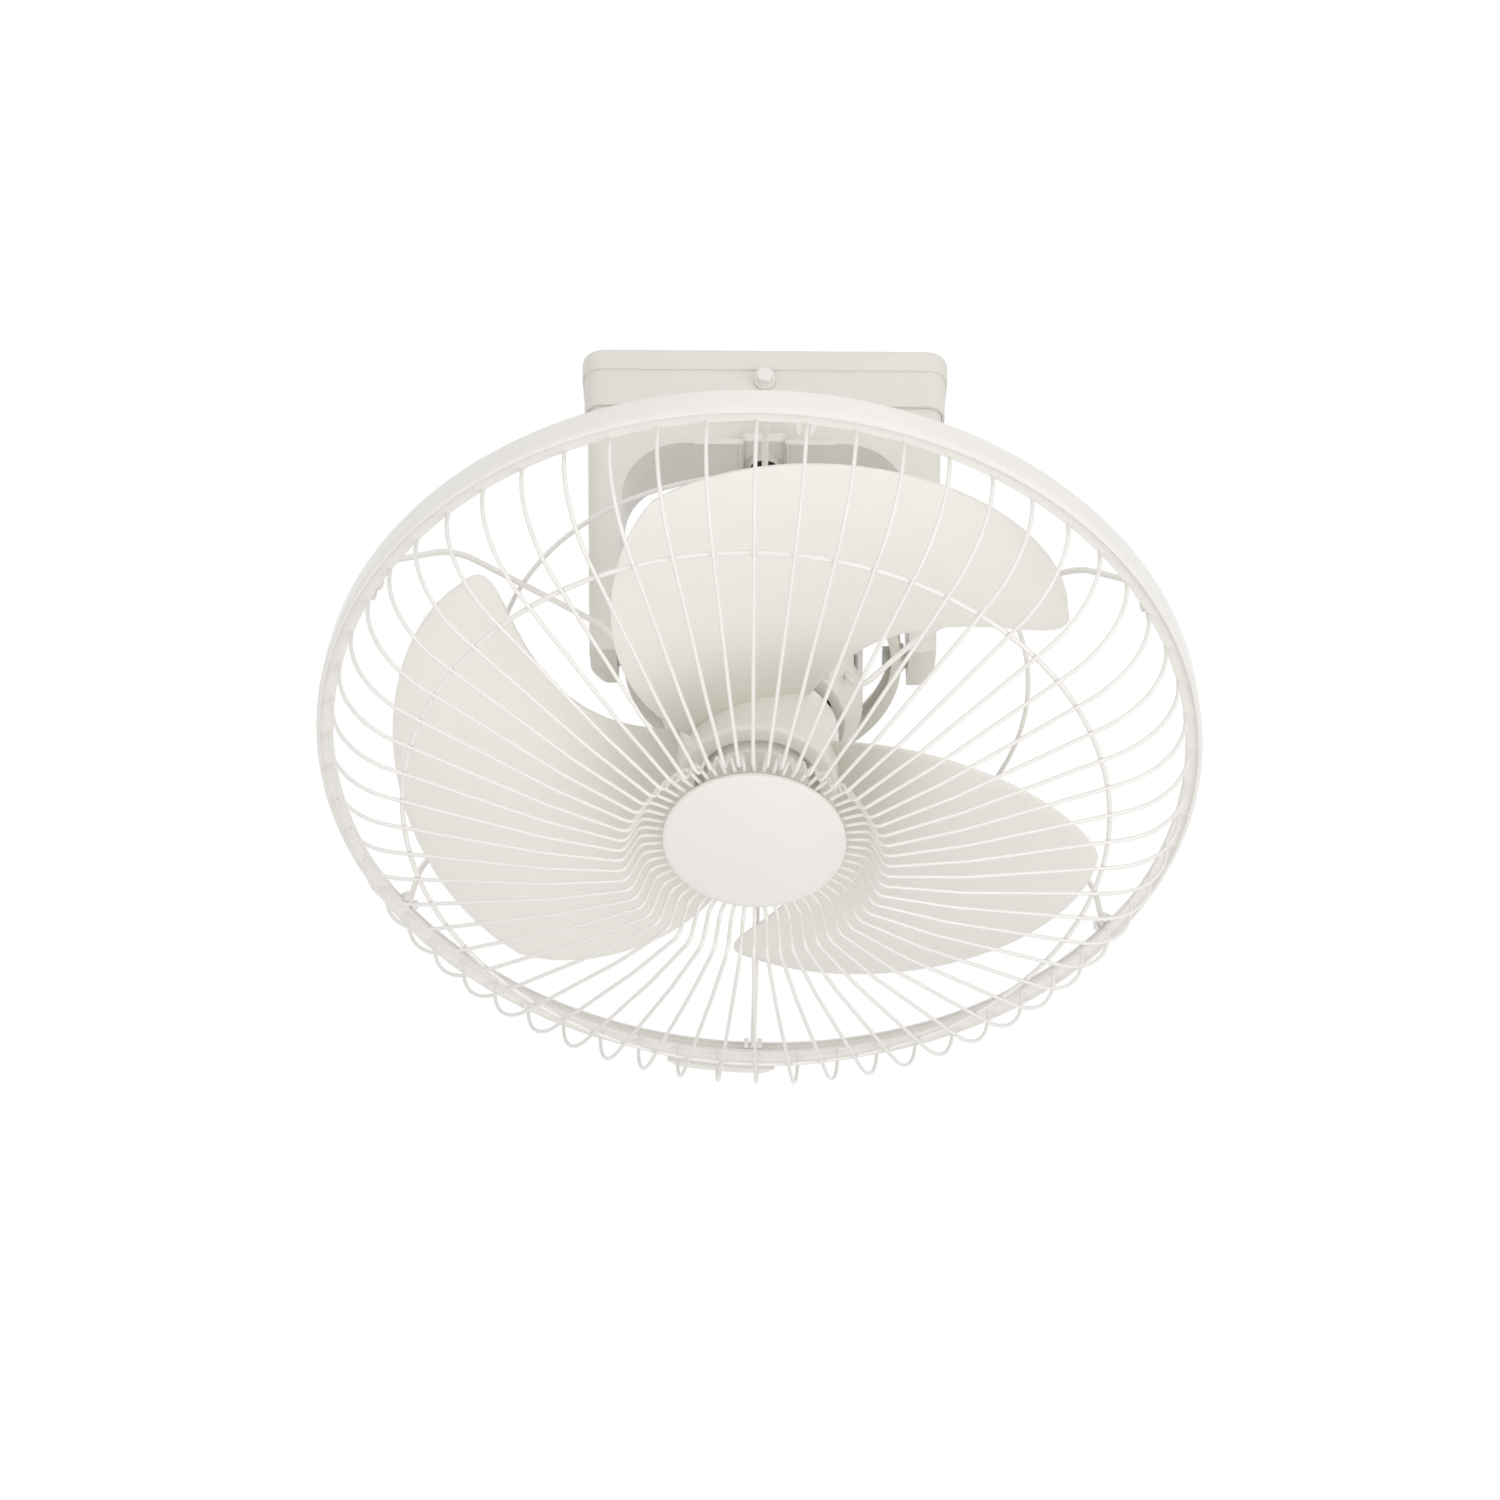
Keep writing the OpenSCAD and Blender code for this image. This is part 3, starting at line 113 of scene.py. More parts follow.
class Value:
    """A shader output used as a number: an expression on values adds its Math nodes."""

    def __init__(self, graph: "Graph", socket: bpy.types.NodeSocket) -> None:
        """Wraps a socket.

        Args:
            graph: The graph that the socket belongs to.
            socket: The output socket.
        """
        self.graph = graph
        self.socket = socket

    def _math(self, operation: str, first: "Value | float", second: "Value | float") -> "Value":
        """Adds one Math node.

        Args:
            operation: Blender's name of the operation.
            first: Left operand.
            second: Right operand.

        Returns:
            The result as a value.
        """
        return self.graph.node("ShaderNodeMath", {"operation": operation}, {0: first, 1: second})

    def __add__(self, other: "Value | float") -> "Value":
        """Sum."""
        return self._math("ADD", self, other)

    def __radd__(self, other: float) -> "Value":
        """Sum with a number on the left."""
        return self._math("ADD", other, self)

    def __sub__(self, other: "Value | float") -> "Value":
        """Difference."""
        return self._math("SUBTRACT", self, other)

    def __rsub__(self, other: float) -> "Value":
        """Difference with a number on the left."""
        return self._math("SUBTRACT", other, self)

    def __mul__(self, other: "Value | float") -> "Value":
        """Product."""
        return self._math("MULTIPLY", self, other)

    def __rmul__(self, other: float) -> "Value":
        """Product with a number on the left."""
        return self._math("MULTIPLY", other, self)


class Graph:
    """The node tree of a material or of the world, with one method that makes every node."""

    def __init__(self, owner: "bpy.types.Material | bpy.types.World") -> None:
        """Turns the owner's nodes on.

        Args:
            owner: The material or the world.
        """
        self.owner = owner
        self.owner.use_nodes = True
        self.tree = self.owner.node_tree

    def node(
        self, kind: str, settings: "dict[str, object] | None" = None,
        inputs: "dict[int | str, object] | None" = None, output: "int | str" = 0,
    ) -> Value:
        """Makes a node, sets it, and fills or links its inputs.

        Args:
            kind: The node's type.
            settings: Attributes that are set before the inputs.
            inputs: Values, or linked values, by socket name or number.
            output: The output socket that is handed back.

        Returns:
            The chosen output.
        """
        made = self.tree.nodes.new(kind)
        for key, value in (settings or {}).items():
            setattr(made, key, value)
        for key, value in (inputs or {}).items():
            self.feed(made.inputs[key], value)
        return Value(self, made.outputs[output])

    def feed(self, socket: bpy.types.NodeSocket, value: object) -> None:
        """Links a value to a socket, or writes a constant on it.

        Args:
            socket: The input socket.
            value: A Value, a number or a tuple.
        """
        if isinstance(value, Value):
            self.tree.links.new(value.socket, socket)
        else:
            socket.default_value = value

    def surface(self, **inputs: object) -> None:
        """Feeds the Principled shader.

        Args:
            **inputs: Socket names with spaces written as underscores, and their values.
        """
        shader = self.tree.nodes["Principled BSDF"]
        for key, value in inputs.items():
            self.feed(shader.inputs[key.replace("_", " ")], value)

    def noise(self, scale: float, detail: float, stretch: Triple = (1.0, 1.0, 1.0)) -> Value:
        """Noise on object coordinates.

        Args:
            scale: Cells per metre.
            detail: Octaves.
            stretch: Scale of each axis.

        Returns:
            The noise factor.
        """
        place = self.node("ShaderNodeTexCoord", output="Object")
        laid = self.node("ShaderNodeMapping", inputs={"Vector": place, "Scale": stretch})
        return self.node("ShaderNodeTexNoise", inputs={"Vector": laid, "Scale": scale, "Detail": detail})

    def mix(self, factor: Value, first: object, second: object) -> Value:
        """Mixes two colours.

        Args:
            factor: The share of the second colour.
            first: RGBA or a value.
            second: RGBA or a value.

        Returns:
            The mixed colour.
        """
        return self.node(
            "ShaderNodeMix", {"data_type": "RGBA"},
            {MIX_FACTOR: factor, MIX_FIRST: first, MIX_SECOND: second}, output=MIX_COLOUR)

    def bump(self, strength: float, distance: float, height: Value) -> Value:
        """Turns a height into a normal.

        Args:
            strength: Strength of the bumps.
            distance: Their height in metres.
            height: The pattern.

        Returns:
            The normal.
        """
        inputs = {"Strength": strength, "Distance": distance, "Height": height}
        return self.node("ShaderNodeBump", inputs=inputs)


def tint(colour: Triple, gain: float) -> "tuple[float, float, float, float]":
    """A lighter or darker shade of a colour.

    Args:
        colour: Linear RGB.
        gain: Factor.

    Returns:
        RGBA.
    """
    return (*(min(channel * gain, 1.0) for channel in colour), 1.0)


@dataclass(frozen=True)
class Moulded:
    """Moulded plastic or baked enamel: a faint flow mottle, orange peel, and dust that dulls it in places.

    The painted hub shade darkens and warms the colour between two distances from the motor's axis, in metres:
    painted shade near the hub.
    """

    name: str
    colour: Triple
    gloss: Gloss = Gloss.SATIN
    peel: float = 0.05
    peel_scale: float = 900.0
    peel_depth: float = 0.0004
    peel_roughness: float = 0.03
    mottle: float = 0.02
    mottle_scale: float = 14.0
    dust_scale: float = 5.0
    dust_roughness: float = 0.1
    coat_roughness: float = 0.2
    painted_hub_shade: float = 0.0
    painted_shade_warmth: Triple = (1.0, 0.985, 0.93)
    hub_near: float = 0.03
    hub_far: float = 0.135

    def shaded(self, graph: Graph, colour: Value) -> Value:
        """Darkens and warms a colour towards the motor's axis, where the light hardly reaches.

        Args:
            graph: The finish's graph.
            colour: The colour away from the axis.

        Returns:
            The shaded colour.
        """
        back = HEAD.inverted()
        place = graph.node("ShaderNodeTexCoord", output="Object")
        laid = graph.node("ShaderNodeMapping", inputs={
            "Vector": place, "Rotation": tuple(back.to_euler()), "Location": tuple(back.translation)})
        flat = graph.node("ShaderNodeVectorMath", {"operation": "MULTIPLY"}, {0: laid, 1: (1.0, 1.0, 0.0)})
        distance = graph.node("ShaderNodeVectorMath", {"operation": "LENGTH"}, {0: flat}, output="Value")
        unshaded = graph.node(
            "ShaderNodeMapRange", {"interpolation_type": "SMOOTHERSTEP"},
            {"Value": distance, "From Min": self.hub_near, "From Max": self.hub_far})
        warm = tuple(channel * gain for channel, gain in zip(self.colour, self.painted_shade_warmth))
        return graph.mix(unshaded, tint(warm, 1 - self.painted_hub_shade), colour)

    def material(self) -> bpy.types.Material:
        """Builds the finish's nodes.

        Returns:
            The material.
        """
        graph = Graph(bpy.data.materials.new(self.name))
        roughness, coat = self.gloss.value
        fine = graph.noise(self.peel_scale, 2.0)
        cloud = graph.noise(self.mottle_scale, 4.0)
        colour = graph.mix(cloud, tint(self.colour, 1 - self.mottle), tint(self.colour, 1 + self.mottle))
        # Painted shade: the colour gets darker and warmer towards the motor's axis, near the hub.
        if self.painted_hub_shade:
            colour = self.shaded(graph, colour)
        dust = graph.noise(self.dust_scale, 6.0)
        smoothest = roughness - self.dust_roughness / 2
        graph.surface(
            Base_Color=colour, Roughness=smoothest + self.dust_roughness * dust + self.peel_roughness * fine,
            Coat_Weight=coat, Coat_Roughness=self.coat_roughness,
            Normal=graph.bump(self.peel, self.peel_depth, fine))
        return graph.owner


@dataclass(frozen=True)
class Steel:
    """Bare or plated metal with a rolled or turned grain."""

    name: str
    colour: Triple
    gloss: Gloss = Gloss.SATIN
    grain: Triple = (1.0, 1.0, 14.0)
    grain_scale: float = 120.0
    grain_share: float = 0.6
    grain_bump: float = 0.12
    grain_depth: float = 0.0003
    grain_roughness: float = 0.16
    cloud_scale: float = 30.0
    cloud_roughness: float = 0.08
    polish: float = 0.1
    wear: float = 0.06

    def material(self) -> bpy.types.Material:
        """Builds the finish's nodes.

        Returns:
            The material.
        """
        graph = Graph(bpy.data.materials.new(self.name))
        roughness, _ = self.gloss.value
        streaks = graph.noise(self.grain_scale, 4.0, self.grain)
        cloud = graph.noise(self.cloud_scale, 5.0)
        worn = streaks * self.grain_share + cloud * (1 - self.grain_share)
        colour = graph.mix(worn, tint(self.colour, 1 - 2 * self.wear), tint(self.colour, 1 + self.wear))
        smoothest = roughness - self.polish
        graph.surface(
            Base_Color=colour, Metallic=1.0,
            Roughness=smoothest + self.grain_roughness * streaks + self.cloud_roughness * cloud,
            Normal=graph.bump(self.grain_bump, self.grain_depth, streaks))
        return graph.owner


@dataclass(frozen=True)
class Winding:
    """Enamelled copper wire, as close ribs across a coil, with painted shade in the hollows between turns and
    a painted highlight on their crests.
    """

    name: str
    colour: Triple
    turns_scale: float = 700.0
    painted_hollow_shade: float = 0.55
    painted_crest_highlight: float = 1.1
    hollow_roughness: float = 0.38
    crest_polish: float = 0.1
    rib_bump: float = 0.5
    rib_depth: float = 0.0004

    def material(self) -> bpy.types.Material:
        """Builds the finish's nodes.

        Returns:
            The material.
        """
        graph = Graph(bpy.data.materials.new(self.name))
        place = graph.node("ShaderNodeTexCoord", output="Object")
        ribs = graph.node(
            "ShaderNodeTexWave", {"wave_type": "BANDS", "bands_direction": "Z"},
            {"Vector": place, "Scale": self.turns_scale, "Distortion": 0.6, "Detail": 1.0}, output="Fac")
        # Painted shade in the rib hollows and a painted highlight on the rib crests.
        colour = graph.mix(ribs, tint(self.colour, self.painted_hollow_shade), tint(self.colour, self.painted_crest_highlight))
        graph.surface(
            Base_Color=colour, Metallic=0.6, Roughness=self.hollow_roughness - self.crest_polish * ribs,
            Normal=graph.bump(self.rib_bump, self.rib_depth, ribs))
        return graph.owner


@dataclass(frozen=True)
class Palette:
    """All finishes of the fan."""

    shell: Moulded = Moulded("ivory_shell", (0.795, 0.78, 0.735), Gloss.SATIN, peel=0.06)
    guard: Moulded = Moulded("white_guard", (0.87, 0.86, 0.83), Gloss.GLOSSY, peel=0.03)
    wire: Moulded = Moulded("coated_wire", (0.885, 0.875, 0.845), Gloss.GLOSSY, peel=0.08, peel_scale=1500.0)
    # The blade plastic carries the painted shade near the hub.
    blade: Moulded = Moulded("blade_plastic", (0.90, 0.885, 0.845), Gloss.SATIN, mottle=0.015, painted_hub_shade=0.27)
    hub: Moulded = Moulded("hub_plastic", (0.83, 0.805, 0.755), Gloss.GLOSSY, peel=0.02)
    enamel: Moulded = Moulded("ivory_enamel", (0.80, 0.785, 0.735), Gloss.SATIN, peel=0.08, peel_scale=600.0)
    nylon: Moulded = Moulded("natural_nylon", (0.80, 0.79, 0.74), Gloss.MATT, peel=0.04)
    black: Moulded = Moulded("black_plastic", (0.018, 0.018, 0.02), Gloss.MATT, peel=0.15, mottle=0.12)
    rubber: Moulded = Moulded("black_rubber", (0.013, 0.013, 0.013), Gloss.MATT, peel=0.3, mottle=0.2)
    zinc: Steel = Steel("zinc_plate", (0.62, 0.63, 0.64), Gloss.SATIN)
    pivot: Steel = Steel("passivated_steel", (0.44, 0.46, 0.42), Gloss.SATIN, grain_scale=220.0, wear=0.1)
    ground: Steel = Steel("ground_steel", (0.68, 0.68, 0.69), Gloss.POLISHED, grain_scale=300.0)
    laminate: Steel = Steel(
        "laminated_steel", (0.30, 0.30, 0.31), Gloss.MATT, grain=(1.0, 1.0, 60.0), grain_scale=60.0, wear=0.2)
    bronze: Steel = Steel(
        "sintered_bronze", (0.62, 0.45, 0.22), Gloss.SATIN, grain=(1.0, 1.0, 1.0), grain_scale=500.0)
    copper: Winding = Winding("copper_winding", (0.62, 0.26, 0.11))


class Shop:
    """Makes each material once and hands it out."""

    def __init__(self, palette: Palette) -> None:
        """Keeps the palette.

        Args:
            palette: The finishes.
        """
        self.palette = palette
        self._made: "dict[str, bpy.types.Material]" = {}

    def get(self, finish: "Moulded | Steel | Winding") -> bpy.types.Material:
        """Looks a finish up, and builds it the first time.

        Args:
            finish: The finish.

        Returns:
            Its material.
        """
        if finish.name not in self._made:
            self._made[finish.name] = finish.material()
        return self._made[finish.name]


class Form:
    """A bmesh under construction, in millimetres, that ends as one piece of the fan."""

    def __init__(self) -> None:
        """Starts empty."""
        self.bm = bmesh.new()

    def everything(self) -> list:
        """All vertices, edges and faces made so far."""
        return self.bm.verts[:] + self.bm.edges[:] + self.bm.faces[:]

    def turned(self, outline: Outline, steps: int = 128, closed: bool = False) -> "Form":
        """Spins an outline round the Z axis.

        Args:
            outline: Radius and height of each point, from one end to the other.
            steps: Steps of the full turn.
            closed: Whether the last point joins the first.

        Returns:
            This form.
        """
        verts = [bmesh.ops.create_vert(self.bm, co=(r, 0.0, z))["vert"][0] for r, z in outline]
        pairs = list(zip(verts, verts[1:] + ([verts[0]] if closed else [])))
        edges = [self.bm.edges.new(pair) for pair in pairs]
        bmesh.ops.spin(
            self.bm, geom=verts + edges, cent=ORIGIN, axis=UP, angle=math.tau, steps=steps, use_merge=True,
            use_duplicate=False)
        bmesh.ops.remove_doubles(self.bm, verts=self.bm.verts, dist=JOIN)
        return self

    def arc(self, outline: Outline, start: float, sweep: float, steps: int) -> "Form":
        """Sweeps a closed outline part of the way round the Z axis.

        Args:
            outline: Radius and height of each corner.
            start: Angle of the first end, in degrees.
            sweep: Angle swept, in degrees.
            steps: Steps of the sweep.

        Returns:
            This form.
        """
        across, along = math.cos(math.radians(start)), math.sin(math.radians(start))
        verts = [bmesh.ops.create_vert(self.bm, co=(r * across, r * along, z))["vert"][0] for r, z in outline]
        end = self.bm.faces.new(verts)
        bmesh.ops.spin(
            self.bm, geom=[end], cent=ORIGIN, axis=UP, angle=math.radians(sweep), steps=steps,
            use_duplicate=False)
        bmesh.ops.remove_doubles(self.bm, verts=self.bm.verts, dist=JOIN)
        return self

    def wire(self, path: "list[Triple]", radius: float, sides: int, steps: int) -> "Form":
        """Bends a round wire along a path in the XZ plane.

        Args:
            path: X, Z and bend radius of each corner.
            radius: Radius of the wire.
            sides: Sides of its section.
            steps: Steps in a bend of a quarter turn.

        Returns:
            This form.
        """
        points = [Vector((x, 0.0, z)) for x, z, _ in path]
        runs = [(b - a).normalized() for a, b in zip(points, points[1:])]
        aim = Vector(UP).rotation_difference(runs[0]).to_matrix().to_4x4()
        start = bmesh.ops.create_circle(
            self.bm, cap_ends=True, segments=sides, radius=radius, matrix=Matrix.Translation(points[0]) @ aim)
        edges = list({edge for vert in start["verts"] for edge in vert.link_edges})
        here = points[0]
        for index, run in enumerate(runs):
            last = index == len(runs) - 1
            angle = 0.0 if last else run.angle(runs[index + 1])
            cut = 0.0 if last else path[index + 1][2] * math.tan(angle / 2)
            goal = points[index + 1] - run * cut
            made = bmesh.ops.extrude_edge_only(self.bm, edges=edges)["geom"]
            verts = [item for item in made if isinstance(item, bmesh.types.BMVert)]
            edges = [item for item in made if isinstance(item, bmesh.types.BMEdge)]
            edges = [edge for edge in edges if all(vert in verts for vert in edge.verts)]
            bmesh.ops.translate(self.bm, verts=verts, vec=goal - here)
            here = goal
            if last:
                bmesh.ops.contextual_create(self.bm, geom=edges)
                break
            axis = run.cross(runs[index + 1]).normalized()
            centre = here + axis.cross(run) * path[index + 1][2]
            count = max(2, round(steps * angle / (math.pi / 2)))
            spun = bmesh.ops.spin(
                self.bm, geom=edges, cent=centre, axis=axis, angle=angle, steps=count, use_duplicate=False)
            edges = [item for item in spun["geom_last"] if isinstance(item, bmesh.types.BMEdge)]
            here = here + run * cut + runs[index + 1] * cut
        return self

    def around(self, count: int, start: float) -> "Form":
        """Repeats all that is made so far round the Z axis.

        Args:
            count: Number of copies in the full turn.
            start: Angle of the first one, in degrees.

        Returns:
            This form.
        """
        turn = Matrix.Rotation(math.radians(start), 3, "Z")
        bmesh.ops.rotate(self.bm, verts=self.bm.verts, cent=ORIGIN, matrix=turn)
        bmesh.ops.spin(
            self.bm, geom=self.everything(), cent=ORIGIN, axis=UP, angle=math.tau * (count - 1) / count,
            steps=count - 1, use_duplicate=True)
        return self

    def block(self, low: Triple, high: Triple) -> "Form":
        """Adds a box between two corners.

        Args:
            low: Lowest corner.
            high: Highest corner.

        Returns:
            This form.
        """
        size = Vector(high) - Vector(low)
        middle = (Vector(high) + Vector(low)) / 2
        place = Matrix.Translation(middle) @ Matrix.Diagonal((*size, 1.0))
        bmesh.ops.create_cube(self.bm, size=1.0, matrix=place)
        return self

    def softened(self, width: float, segments: int, sharper_than: float) -> "Form":
        """Bevels every edge that is sharper than an angle.

        Args:
            width: Width of the bevel.
            segments: Its segments.
            sharper_than: Angle in degrees.

        Returns:
            This form.
        """
        limit = math.radians(sharper_than)
        closed = [edge for edge in self.bm.edges if len(edge.link_faces) == 2]
        edges = [edge for edge in closed if edge.calc_face_angle(0.0) > limit]
        bmesh.ops.bevel(
            self.bm, geom=edges, offset=width, offset_type="OFFSET", segments=segments, profile=0.5,
            affect="EDGES", clamp_overlap=True, material=-1)
        return self

    def placed(self, matrix: Matrix) -> "Form":
        """Moves everything by a matrix in millimetres."""
        bmesh.ops.transform(self.bm, matrix=matrix, verts=self.bm.verts)
        return self

    def piece(
        self, name: str, body: Body, material: bpy.types.Material, slot: str,
        stands_for: "tuple[str, ...]" = (), head: bool = False, sharp_past: float = SHARP_PAST,
    ) -> bpy.types.Object:
        """Ends the form as an object that rides on a body.

        Args:
            name: Name of the piece.
            body: The body that it rides on.
            material: Its finish.
            slot: The record's material slot; not used.
            stands_for: CAD nodes that it replaces.
            head: Whether the form is in the fan head's axes.
            sharp_past: Angle in degrees past which an edge stays sharp.

        Returns:
            The object.
        """
        scale = Matrix.Scale(MM, 4)
        self.placed(HEAD @ scale if head else scale)
        bmesh.ops.recalc_face_normals(self.bm, faces=self.bm.faces)
        limit = math.radians(sharp_past)
        for face in self.bm.faces:
            face.smooth = True
        for edge in self.bm.edges:
            edge.smooth = len(edge.link_faces) == 2 and edge.calc_face_angle(0.0) < limit
        mesh = bpy.data.meshes.new(name)
        self.bm.to_mesh(mesh)
        self.bm.free()
        made = bpy.data.objects.new(name, mesh)
        bpy.context.scene.collection.objects.link(made)
        made.data.materials.append(material)
        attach(made, body.value)
        if stands_for:
            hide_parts(*stands_for)
        LOG.info("%s: %d faces on %s", name, len(mesh.polygons), body.value)
        return made


def refined(node: str, width: float, segments: int = 2) -> Form:
    """A copy of a CAD node with its flat facets joined and its edges rounded.

    Args:
        node: The node.
        width: Width of the edge rounding in millimetres.
        segments: Segments of the rounding.

    Returns:
        The form, in millimetres.
    """
    form = Form()
    form.bm.from_mesh(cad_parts[node].data)
    form.placed(Matrix.Scale(1 / MM, 4))
    bmesh.ops.remove_doubles(form.bm, verts=form.bm.verts, dist=CAD_JOIN)
    bmesh.ops.dissolve_limit(
        form.bm, angle_limit=CAD_FLAT, use_dissolve_boundaries=False, verts=form.bm.verts,
        edges=form.bm.edges, delimit=set())
    form.softened(width, segments, HOUSING_ROUND_PAST)
    many = [face for face in form.bm.faces if len(face.verts) > 4]
    bmesh.ops.triangulate(form.bm, faces=many, quad_method="BEAUTY", ngon_method="BEAUTY")
    return form


def curve(terms: "tuple[float, ...]", s: float) -> float:
    """A polynomial.

    Args:
        terms: Its coefficients, the constant first.
        s: Where it is read.

    Returns:
        Its value.
    """
    return sum(term * s**power for power, term in enumerate(terms))


@dataclass
class Assembly:
    """A sub-assembly of the fan, which takes its finishes from the shop."""

    shop: Shop

    def dress(self, finish: "Moulded | Steel | Winding", *nodes: str) -> None:
        """Puts a finish on CAD nodes that keep their shape.

        Args:
            finish: The finish.
            *nodes: Names of the nodes.
        """
        material = self.shop.get(finish)
        for node in nodes:
            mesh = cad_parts[node].data
            for index in range(max(1, len(mesh.materials))):
                if index < len(mesh.materials):
                    mesh.materials[index] = material
                else:
                    mesh.materials.append(material)
            LOG.info("%s: dressed in %s", node, finish.name)


@dataclass
class Base(Assembly):
    """The housing under the ceiling: canopy, yoke covers, strap, knob and orbit socket.

    The soft fields draw the canopy's top in, the beam fields place the yoke's beam, the slot fields line the
    slot in the beam where the black socket sits, and the strip fields shape the raised strips under the beam.
    """

    cover_edge: float = 1.6
    canopy_edge: float = 1.5
    knob_edge: float = 0.35
    soft_top: float = 7.0
    soft_in: float = 2.6
    half_width: float = 121.7
    half_depth: float = 28.2
    beam_bottom: float = -74.0
    beam_front: float = -24.9
    socket_face: float = -77.7
    socket_r: float = 9.0
    sleeve_inset: float = 1.1
    slot_half: float = 13.9
    slot_back: float = 12.9
    slot_inset: float = 1.2
    slot_lift: float = 0.3
    slot_depth: float = 4.0
    slot_wall: float = 0.8
    slot_gap: float = 0.1
    slot_shelf: float = 1.0
    side_rise: float = 4.0
    front_rise: float = 5.8
    strip_drop: float = 0.9
    strip_width: float = 2.6
    strip_ends: "tuple[float, float]" = (16.5, 46.0)
    strip_round: float = 0.3
    cross_ends: "tuple[float, float]" = (14.6, 16.4)
    cross_inset: float = 0.4
    cross_back: float = 14.0

    def slot_lining(self) -> Form:
        """Lines the slot in the beam with walls, and closes it round the socket.

        Returns:
            The form.
        """
        wall, gap, side, back = self.slot_wall, self.slot_gap, self.slot_half, self.slot_back
        front, shelf = self.beam_front + self.slot_inset, self.beam_front + self.slot_inset + self.slot_shelf
        low, high = self.beam_bottom + self.slot_lift, self.beam_bottom + self.slot_depth
        inner, under = side - wall - gap, high - wall - gap
        hole, collar = self.socket_r + 2 * gap, self.socket_r + 3 * gap
        sleeve, mouth = self.socket_r + 1.5 * gap, self.socket_face + self.sleeve_inset
        washer = [(collar, high - wall), (inner, high - wall), (inner, high), (collar, high)]
        tube = [(sleeve, mouth), (sleeve + wall, mouth), (sleeve + wall, under), (sleeve, under)]
        form = Form().turned(washer, 64, closed=True).turned(tube, 64, closed=True)
        form.block((-side, front, low), (wall - side, back, high + self.side_rise))
        form.block((side - wall, front, low), (side, back, high + self.side_rise))
        form.block((-inner, back - wall, low), (inner, back, high))
        form.block((-inner, shelf, high), (inner, shelf + wall, high + self.front_rise))
        form.block((-inner, shelf, under), (inner, -hole, high - gap))
        form.block((-inner, hole, under), (inner, back - wall - gap, high - gap))
        for near, far in ((-inner, -hole - 3 * gap), (hole + 3 * gap, inner)):
            form.block((near, gap - hole, under + 2 * gap), (far, hole - gap, high - 2 * gap))
        return form

    def canopy(self) -> Form:
        """Draws the canopy's top in along a soft curve.

        Returns:
            The form.
        """
        form = refined("canopy_cover", self.canopy_edge, 3)
        for height in (-6.0, -4.0, -2.4, -1.2, -0.5):
            bmesh.ops.bisect_plane(form.bm, geom=form.everything(), plane_co=(0.0, 0.0, height), plane_no=UP)
        for vert in form.bm.verts:
            rise = (vert.co.z + self.soft_top) / self.soft_top
            if rise > 0:
                inward = self.soft_in * (1 - math.sqrt(max(0.0, 1 - rise * rise)))
                vert.co.x *= 1 - inward / self.half_width
                vert.co.y *= 1 - inward / self.half_depth
        return form

    def strips(self) -> Form:
        """Raised strips under the ledge: a long one and a cross one, left and right of the slot.

        Returns:
            The form.
        """
        form = Form()
        low, high, front = self.beam_bottom - self.strip_drop, self.beam_bottom + 0.1, self.beam_front
        for side in (-1, 1):
            near, far = sorted(side * end for end in self.strip_ends)
            form.block((near, front - 0.1, low), (far, front + self.strip_width, high))
            near, far = sorted(side * end for end in self.cross_ends)
            form.block((near, front + self.cross_inset, low), (far, self.cross_back, high))
        return form.softened(self.strip_round, 2, SMALL_ROUND_PAST)

    def build(self) -> None:
        """Makes and dresses all of the base."""
        palette = self.shop.palette
        shell, white = self.shop.get(palette.shell), self.shop.get(palette.guard)
        for node in ("yoke_front_cover", "yoke_rear_cover"):
            refined(node, self.cover_edge, 3).piece(
                f"{node}_skin", Body.CEILING, shell, "ivory_shell", (node,))
        self.canopy().piece("canopy_skin", Body.CEILING, shell, "ivory_shell", ("canopy_cover",))
        refined("cover_knob", self.knob_edge).piece(
            "cover_knob_skin", Body.KNOB, white, "ivory_shell", ("cover_knob",))
        self.slot_lining().piece("slot_lining", Body.CEILING, shell, "ivory_shell")
        self.strips().piece("ledge_strips", Body.CEILING, shell, "ivory_shell")
        self.dress(palette.zinc, "mounting_plate", "frame_strap", "plate_screws", "orbit_socket_holder",
                   "leg_pivot_nuts", "leg_pivot_washers")
        self.dress(palette.pivot, "leg_pivot_bolts")
        self.dress(palette.rubber, "cable_grommet")
        self.dress(palette.black, "orbit_socket")
        self.dress(palette.nylon, "terminal_block")
        self.dress(palette.bronze, "knob_nut")


@dataclass
class Gimbal(Assembly):
    """The tilting ring and its bushes."""

    ring_edge: float = 0.5

    def build(self) -> None:
        """Makes and dresses the gimbal."""
        palette = self.shop.palette
        refined("gimbal_ring", self.ring_edge).piece(
            "gimbal_ring_skin", Body.GIMBAL, self.shop.get(palette.shell), "ivory_metal", ("gimbal_ring",))
        self.dress(palette.nylon, "gimbal_bushes")


